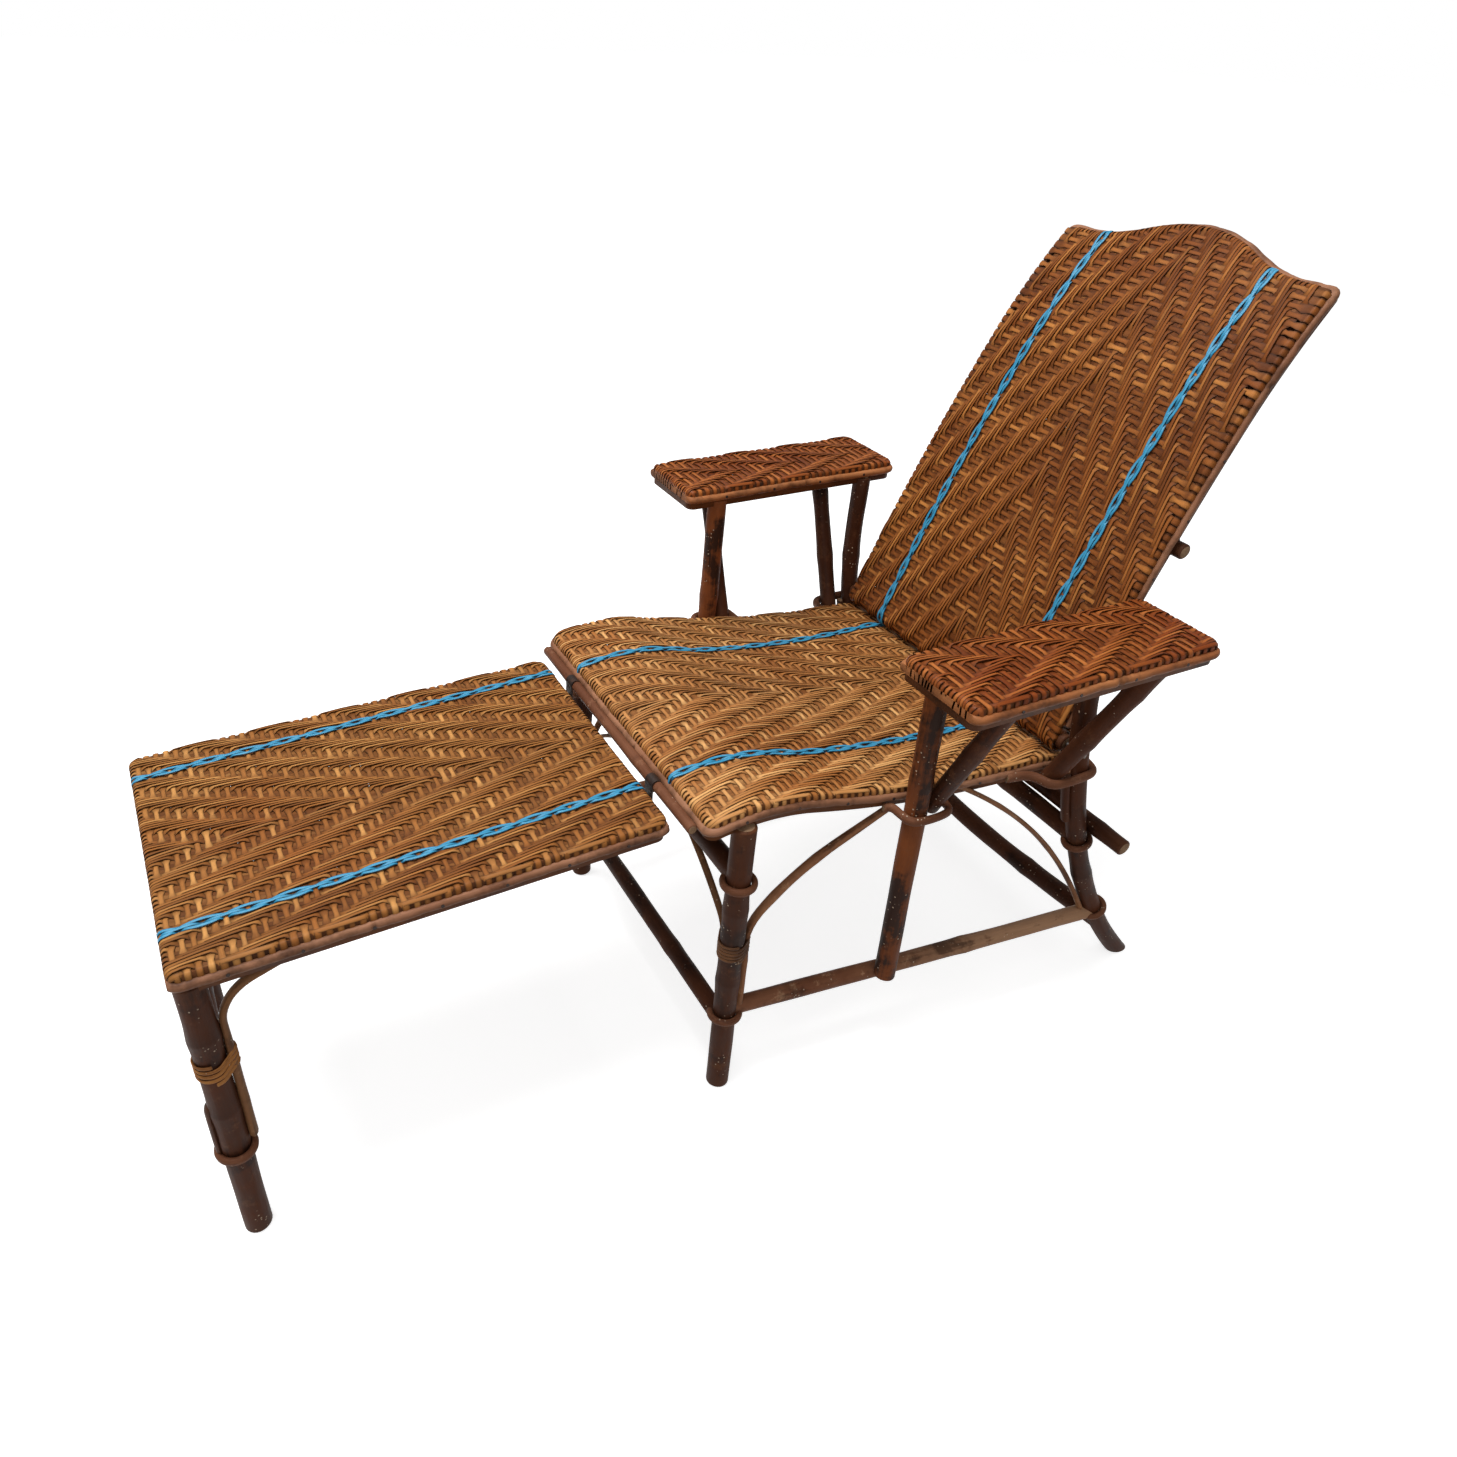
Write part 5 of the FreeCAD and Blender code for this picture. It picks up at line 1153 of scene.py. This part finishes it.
# Legs, arm posts, braces and side stretchers
legX, legY, legR = frameSizes["frontLeg"]
rearR, hug = frameSizes["rearLeg"][2], frameSizes["wrapHug"]
armUnder, postY = frameSizes["armUnder"], frameSizes["postY"]
stretcherEnds = (np.array([legX - 2, legY, frameSizes["sideFront"]]), rearLegAt(frameSizes["sideRear"]))
share = (postY - legY) / (stretcherEnds[1][1] - legY)     # of the stretcher's length, where the post stands
postFoot = (stretcherEnds[0][0] + (stretcherEnds[1][0] - stretcherEnds[0][0]) * share
            + frameSizes["stretcher"] + frameSizes["postRadius"] + frameSizes["postGap"])
sidePoles = {
    "front_leg": {"path": [(legX, legY, 0), (legX, legY, 465)], "radius": legR, "rings": 70, "sides": 24,
                  "knots": (205, 330)},
    "rear_leg": {"path": rearLegAt(np.linspace(-13, armUnder, 60)), "radius": rearR, "rings": 90, "sides": 24,
                 "knots": (266, 577)},
    "arm_post": {"path": [(postFoot, postY, 146), (frameSizes["postTopX"], postY, armUnder)],
                 "radius": frameSizes["postRadius"], "rings": 70, "sides": 24, "knots": (332,)},
    "arm_front_brace": {"path": [(268, 171.8, 428), (359.5, 175.6, 643)], "radius": 12.0, "rings": 44, "sides": 20,
                        "knots": (120,)},
    "arm_rear_brace": {"path": [(264.5, 384, 404), (366, 393.8, 643)], "radius": 13.0, "rings": 44, "sides": 20,
                       "knots": (95, 200)},
    "side_stretcher": {"path": stretcherEnds, "radius": 12.2, "rings": 80, "sides": 18, "knots": (395,),
                       "bow": (0, 0, -2)},
}
sideBark = {"arm_post": postBark, "side_stretcher": wornBark}
low = frameSizes["sideRear"] + 6
endWraps = [ringPath((legX, legY, 141), (0, 0, -1), (0, 1, 0), 215, legR + hug),
            ringPath(rearLegAt(low), rearLegAxis(low), (0, -1, 0), 215, rearR + hug)]
wrapCane = {"radius": 4.8, "rings": 40, "sides": 12, "squash": (0.9, 1.15)}
for word, side in bothSides:
    for step, (name, pole) in enumerate(sidePoles.items()):
        tube = grown(pole, side, seed=3.0 + side + 2 * step)
        if name == "rear_leg":
            tube = sawnLevel(tube)
        barkPole(name + "_" + word, "base", [tube], sideBark.get(name, poleBark))
    wraps = [grown(wrapCane, side, path=path, seed=1 + step) for step, path in enumerate(endWraps)]
    poles("side_stretcher_" + word + "_wraps", "base", wraps, loopBark, "split_cane")
print("legs, posts and side stretchers grown")

# Rails and stretchers from side to side, the rails with their thinned ends bent round the legs
collarCane = {"radius": 5.0, "rings": 44, "sides": 12, "squash": (0.85, 1.15)}


def collars(name, body, centre, axis, radius):
    path = ringPath(centre, axis, (-1, -0.12, 0), 330, radius + hug)
    made = [grown(collarCane, side, path=path, seed=4 + side) for _, side in bothSides]
    poles(name, body, made, loopBark, "split_cane")


railHeight, rearRailHeight = frameSizes["frontRail"], frameSizes["rearRail"]
crossPoles = {
    "front_cross_rail": {"path": crossLine(legX, legY, railHeight), "radius": 14.0, "knots": (120, 366),
                         "seed": 5},
    "rear_cross_rail": {"path": crossLine(*rearLegAt(rearRailHeight)), "radius": 14.0, "knots": (150, 410),
                        "seed": 6},
    "front_stretcher": {"path": crossLine(240, legY, frameSizes["frontCross"]), "radius": 12.5, "knots": (90, 330),
                        "seed": 7},
    "rear_stretcher": {"path": crossLine(*rearLegAt(frameSizes["rearCross"])), "radius": 15.0, "knots": (180, 420),
                       "bow": (0, 0, -20), "seed": 8},
}
collarDrop = frameSizes["collarDrop"]
collarPlaces = {
    "front_cross_rail": ("front_collars", "base", (legX, legY, railHeight - collarDrop), (0, 0, 1), legR),
    "rear_cross_rail": ("rear_collars", "base", rearLegAt(rearRailHeight - collarDrop),
                        rearLegAxis(rearRailHeight), rearR),
}
for node, pole in crossPoles.items():
    barkPole(node, "base", [grown(pole, rings=60, sides=20)])
    if node in collarPlaces:
        collars(*collarPlaces[node])

# Prop frame behind the back, and the pole that the back turns on
hinge, rod = (546.9, 703.3), (485.9, 305.0)               # y and z of the upper and the lower rod
strutX, strutLow, strutHigh = 186, 309, 699
upperRod = {"path": crossLine(240, *hinge), "radius": 10.5, "rings": 60, "sides": 18,
            "knots": (70, 250, 420), "seed": 9}
lowerRod = {"path": crossLine(343, *rod), "radius": 11.8, "rings": 70, "sides": 18, "knots": (60, 270, 500, 640),
            "seed": 10}
strut = {"path": [(strutX, rod[0], strutLow), (strutX, hinge[0], strutHigh)], "radius": 9.0, "rings": 50,
         "sides": 16, "knots": (130, 300)}
pivotPole = {"path": crossLine(250, pivotY, pivotZ), "radius": 12.0, "rings": 60, "sides": 18,
             "seed": 13}
barkPole("prop_upper_rod", "prop", [grown(upperRod)])
barkPole("prop_lower_rod", "prop", [grown(lowerRod)])
barkPole("prop_struts", "prop", [grown(strut, side, seed=11 + side) for _, side in bothSides])
poles("back_pivot_bark", "back", [grown(pivotPole)], poleBark, "rattan_pole", "back_pivot_pole")

# Footrest legs, the stretcher between them, and the bar before the seat that its hooks hang on
footX, footY, footR, footRail = 187.0, -708.0, 16.5, 158
footLeg = {"path": [(footX, footY, 0), (footX, footY, 430)], "radius": footR, "rings": 80, "sides": 24,
           "knots": (225, 345)}
footStretcher = {"path": crossLine(footX, footY, footRail), "radius": 11.0, "rings": 50, "sides": 18,
                 "knots": (110, 280), "seed": 17}
hookBar = {"path": crossLine(226, -151.2, 466), "radius": 7.2, "rings": 50, "sides": 16,
           "knots": (90, 300), "seed": 18}
for word, side in bothSides:
    barkPole("footrest_leg_" + word, "footrest", [grown(footLeg, side, seed=14 + side)])
barkPole("footrest_stretcher", "footrest", [grown(footStretcher)])
collars("footrest_collars", "footrest", (footX, footY, footRail - 5), (0, 0, 1), footR)
barkPole("hook_bar", "base", [grown(hookBar)], loopBark)
print("cross poles grown")


# Split canes: arches, braces, splints and loops, one on each side
splitCaneShape = {"rings": 50, "sides": 12, "squash": (0.72, 1.2), "tip": 1.5}
loopShape = {"rings": 60, "squash": (0.9, 1.15)}


def canePair(node, body, cane, finish=splitCane):
    made = [grown(dict(splitCaneShape, **cane), side, seed=20 + side) for _, side in bothSides]
    poles(node + "_cane", body, made, finish, "split_cane", node)


def sidePath(x, start, heading, moves):
    line = sideLine(start, heading, moves, 4.0)
    return np.stack([np.full(len(line), x), line[:, 1], line[:, 2]], 1)


sideArch = {"path": sidePath(legX, (-69.7, 152), 90, [(113, 0), (70, -43), (330, -23), (76, 0)]), "radius": 5.0,
            "knots": (84, 190, 262), "broad": ([0, 84, 118, 300, 420], [1.45, 1.4, 1.1, 1.15, 0.85])}
canePair("front_side_arches", "base", sideArch, archCane)

line = sideLine((legX - 20.2, 134), 90, [(131, 0), (45, 46), (420, 17.5)], 4.0)
line = line[line[:, 2] < 370]                             # up to the rail
facePath = np.stack([line[:, 1], np.full(len(line), legY), line[:, 2]], 1)
canePair("front_face_arches", "base", {"path": facePath, "radius": 4.2, "knots": (120,)})

# rear arch: from below the seat, on a wide arc, to the foot of the rear leg
rearArch = {"topY": 242.0, "belowSeat": 18, "footHeight": 128.0, "arc": 1130, "topX": 241}
lowPoint = rearLegAt(rearArch["footHeight"])
lowSlope = math.asin((frameSizes["rearBend"] - rearArch["footHeight"]) / frameSizes["rearBendRadius"])
topZ = np.interp(rearArch["topY"], seatLine[:, 1], seatLine[:, 2]) - rearArch["belowSeat"]
archFootY = lowPoint[1] - 18 / math.cos(lowSlope) - 1
chordRun = math.dist((rearArch["topY"], topZ), (archFootY, rearArch["footHeight"]))
halfTurn = math.degrees(math.asin(chordRun / 2 / rearArch["arc"]))
heading = math.degrees(math.atan2(rearArch["footHeight"] - topZ, archFootY - rearArch["topY"])) + halfTurn
line = sideLine((rearArch["topY"], topZ), heading, [(rearArch["arc"], -2 * halfTurn)], 4.0)
drop = (topZ - line[:, 2]) / (topZ - rearArch["footHeight"])
archPath = np.stack([rearArch["topX"] + drop * (lowPoint[0] - rearArch["topX"]), line[:, 1], line[:, 2]], 1)
rearSplit = {"path": archPath, "radius": 4.8, "knots": (95, 240), "bow": (0, 8, 8)}
canePair("rear_side_arches", "base", rearSplit, archCane)

# splints before the rear legs
heights = np.linspace(330, 420, 20)
splintPath = rearLegAt(heights)
for index, height in enumerate(heights):
    ahead = rearLegAxis(height)
    splintPath[index] += np.array([0, -ahead[2], ahead[1]]) * 19.0
canePair("rear_leg_splints", "base", {"path": splintPath, "radius": 6.0, "squash": (0.8, 1.2)}, poleBark)

# braces behind the footrest's legs, and splints before them that are bent into the leg
braceY = footY + footR + 5.2
footBrace = {"path": sidePath(footX, (braceY, 168), 90, [(185, 0), (60, -70), (38, 0)]), "radius": 5.0,
             "knots": (60,), "squash": (0.8, 1.3), "broad": ([0, 120, 185], [1.35, 1.3, 1.0])}
canePair("footrest_braces", "footrest", footBrace)
splintY = footY - footR - 1.2
splint = [(footX, splintY + inwards, height) for inwards, height in ((0, 158), (0, 224), (1, 234), (7, 240))]
canePair("footrest_leg_splints", "footrest", {"path": softened(splint, 3), "radius": 5.0, "squash": (0.85, 1.5)},
         poleBark)

# Loops that run out of the seat's rim, round a post or a rear leg and its brace, as x and y
rimOut = 251.0          # the outside of the seat's rim
postLoop, rearLoop = {"height": 431, "radius": 5.4}, {"height": 414, "radius": 6.2}
postLow, postHigh = frameSizes["sideFront"], 659          # the post's line goes on into the arm
postLoopX = postFoot + (frameSizes["postTopX"] - postFoot) * (postLoop["height"] - postLow) / (postHigh - postLow)
outer = postLoopX + frameSizes["postRadius"] + 5
postPlan = [(rimOut - 1, 112), (rimOut + 1, 124), (postLoopX - 6, 124.5), (outer - 6, 126), (outer, 141),
            (outer, 176), (outer - 6, 190), (postLoopX - 6, 191.5), (rimOut + 1, 192), (rimOut - 1, 204)]
legHere = rearLegAt(float(rearLoop["height"]))[0]
outer = legHere + rearR + 5.5
rearPlan = [(rimOut - 2, 322), (rimOut + 3, 350), (264, 362), (outer - 8, 366), (outer, 378), (outer, 432),
            (outer - 6, 447), (legHere - 6, 452.5), (256, 452.5)]
for node, plan, loop in (("post_loops", postPlan, postLoop), ("rear_loops", rearPlan, rearLoop)):
    loopPath = softened([(x, y, loop["height"]) for x, y in plan])
    canePair(node, "base", dict(loopShape, path=loopPath, radius=loop["radius"]), loopBark)

# Lashings of flat cane, wound round a leg and what is bound to it, as x, y and radius
legLashing = {"circles": [(legX, legY, 16.2), (legX, -69.7, 4.0), (legX - 20.3, legY, 4.0)], "low": 249,
              "turns": 5, "lean": 0.06, "width": 4.8, "pitch": 5.6, "thick": 2.6}
footLashing = {"circles": [(footX, footY, 16.8), (footX, braceY, 4.6)], "low": 284, "turns": 4, "lean": 0.42,
               "width": 5.6, "pitch": 7.2, "thick": 2.6}


def lash(node, body, lashing, finish):
    width, thick, turns = lashing["width"], lashing["thick"], lashing["turns"]
    path = hullPath(lashing["circles"], turns, lashing["low"], lashing["pitch"], lashing["lean"], thick / 2)
    made = [growTube(mirrored(path, side), width / 2, 34 * turns, 8, squash=(thick / width, 1.0), tip=1.0,
                     seed=30 + side) for _, side in bothSides]
    poles(node + "_cane", body, made, finish, "split_cane", node)


lash("leg_lashings", "base", legLashing, splitCane)
lash("footrest_lashings", "footrest", footLashing, lashCane)
print("split canes, loops and lashings made")


# Finishes of the carried-over pieces: bark lengthwise unless another is named
carriedFinishes = [
    (crossBark, ("seat_front_rail", "seat_rear_rail", "seat_cross_bars", "back_top_rail", "footrest_cross_bars")),
    (uprightBark, ("back_side_rail_left", "back_side_rail_right")),
    (pinSteel, ("back_pivot_pins",)),
    (darkIron, ("prop_straps", "footrest_hooks")),
    (tackIron, ("rim_tacks", "back_tacks", "footrest_tacks")),
]
finishOf = {name: finish for finish, names in carriedFinishes for name in names}
for name, node in nodes.items():
    node.data.materials.clear()
    node.data.materials.append(finishOf.get(name, longBark))
print("carried-over pieces finished")


# Floor, light and camera
stageLook = {
    "floorSize": 60.0, "floorLevel": -0.0005, "floorColour": paint(226, 226, 226),
    "floorBounce": paint(120, 112, 106), "floorGlow": 0.70, "floorRough": 0.9, "skyStrength": 0.40,
}
lamps = {
    "keyLamp": {"place": (-0.4, -0.8, 3.7), "size": 2.4, "power": 142.0},
    "fillLamp": {"place": (2.8, -1.6, 2.2), "size": 2.5, "power": 26.0},
}
lampAim = (0, 0, 0.4)
cameraLook = {
    "place": (1.0576, -0.6517, 1.2672), "turn": (0.747908, 0.407144, 0.229759, 0.471252), "sensor": 36.0,
    "lens": 26.52, "shiftX": 0.048, "nearest": 0.05,
}
white = (1, 1, 1, 1)

deselect()
bpy.ops.mesh.primitive_plane_add(size=stageLook["floorSize"], location=(0, 0, stageLook["floorLevel"]))
floor = named("floor")
applyPlace()
floorPaint = Finish("floorPaint")
seen = floorPaint.node("ShaderNodeLightPath", None, None, out="Is Camera Ray")
rays = seen.socket.node.outputs
for kind in ("Is Glossy Ray", "Is Transmission Ray"):     # so that mirrors and glass show the background too
    seen = floorPaint.node("ShaderNodeMath", {"operation": "MAXIMUM"}, {0: seen, 1: Wire(floorPaint, rays[kind])})
floorPaint.feed(floorPaint.shader.inputs["Base Color"],
                floorPaint.blend(stageLook["floorBounce"], stageLook["floorColour"], seen))
floorPaint.feed(floorPaint.shader.inputs["Roughness"], stageLook["floorRough"])
glow = floorPaint.node("ShaderNodeEmission", None, {"Color": white, "Strength": seen * stageLook["floorGlow"]})
both = floorPaint.node("ShaderNodeAddShader", None, {0: Wire(floorPaint, floorPaint.shader.outputs[0]), 1: glow})
floorPaint.feed(floorPaint.tree.nodes["Material Output"].inputs["Surface"], both)
floor.data.materials.append(floorPaint.material)

world = bpy.data.worlds.new("studio")
bpy.context.scene.world = world
sky = Finish("studio", world)
onCamera = sky.node("ShaderNodeLightPath", None, None, out="Is Camera Ray")
strength = sky.node("ShaderNodeMath", {"operation": "MAXIMUM"}, {0: onCamera, 1: stageLook["skyStrength"]})
sky.feed(sky.shader.inputs["Strength"], strength)
sky.feed(sky.shader.inputs["Color"], white)

for name, look in lamps.items():
    deselect()
    bpy.ops.object.light_add(type="AREA", location=look["place"])
    lamp = bpy.context.object
    lamp.name = name
    lamp.data.shape = "DISK"
    lamp.data.size = look["size"]
    lamp.data.energy = look["power"]
    lamp.rotation_euler = (Vector(lampAim) - Vector(look["place"])).to_track_quat("-Z", "Y").to_euler()

bpy.ops.object.camera_add(location=cameraLook["place"])
camera = bpy.context.object
camera.name = "photoCamera"
camera.rotation_mode = "QUATERNION"
camera.rotation_quaternion = cameraLook["turn"]
camera.data.sensor_width = cameraLook["sensor"]
camera.data.lens = cameraLook["lens"]
camera.data.shift_x = cameraLook["shiftX"]
camera.data.clip_start = cameraLook["nearest"]
bpy.context.scene.camera = camera
bpy.context.scene.view_settings.view_transform = "Standard"
print("stage, light and camera set")

bpy.context.view_layer.update()
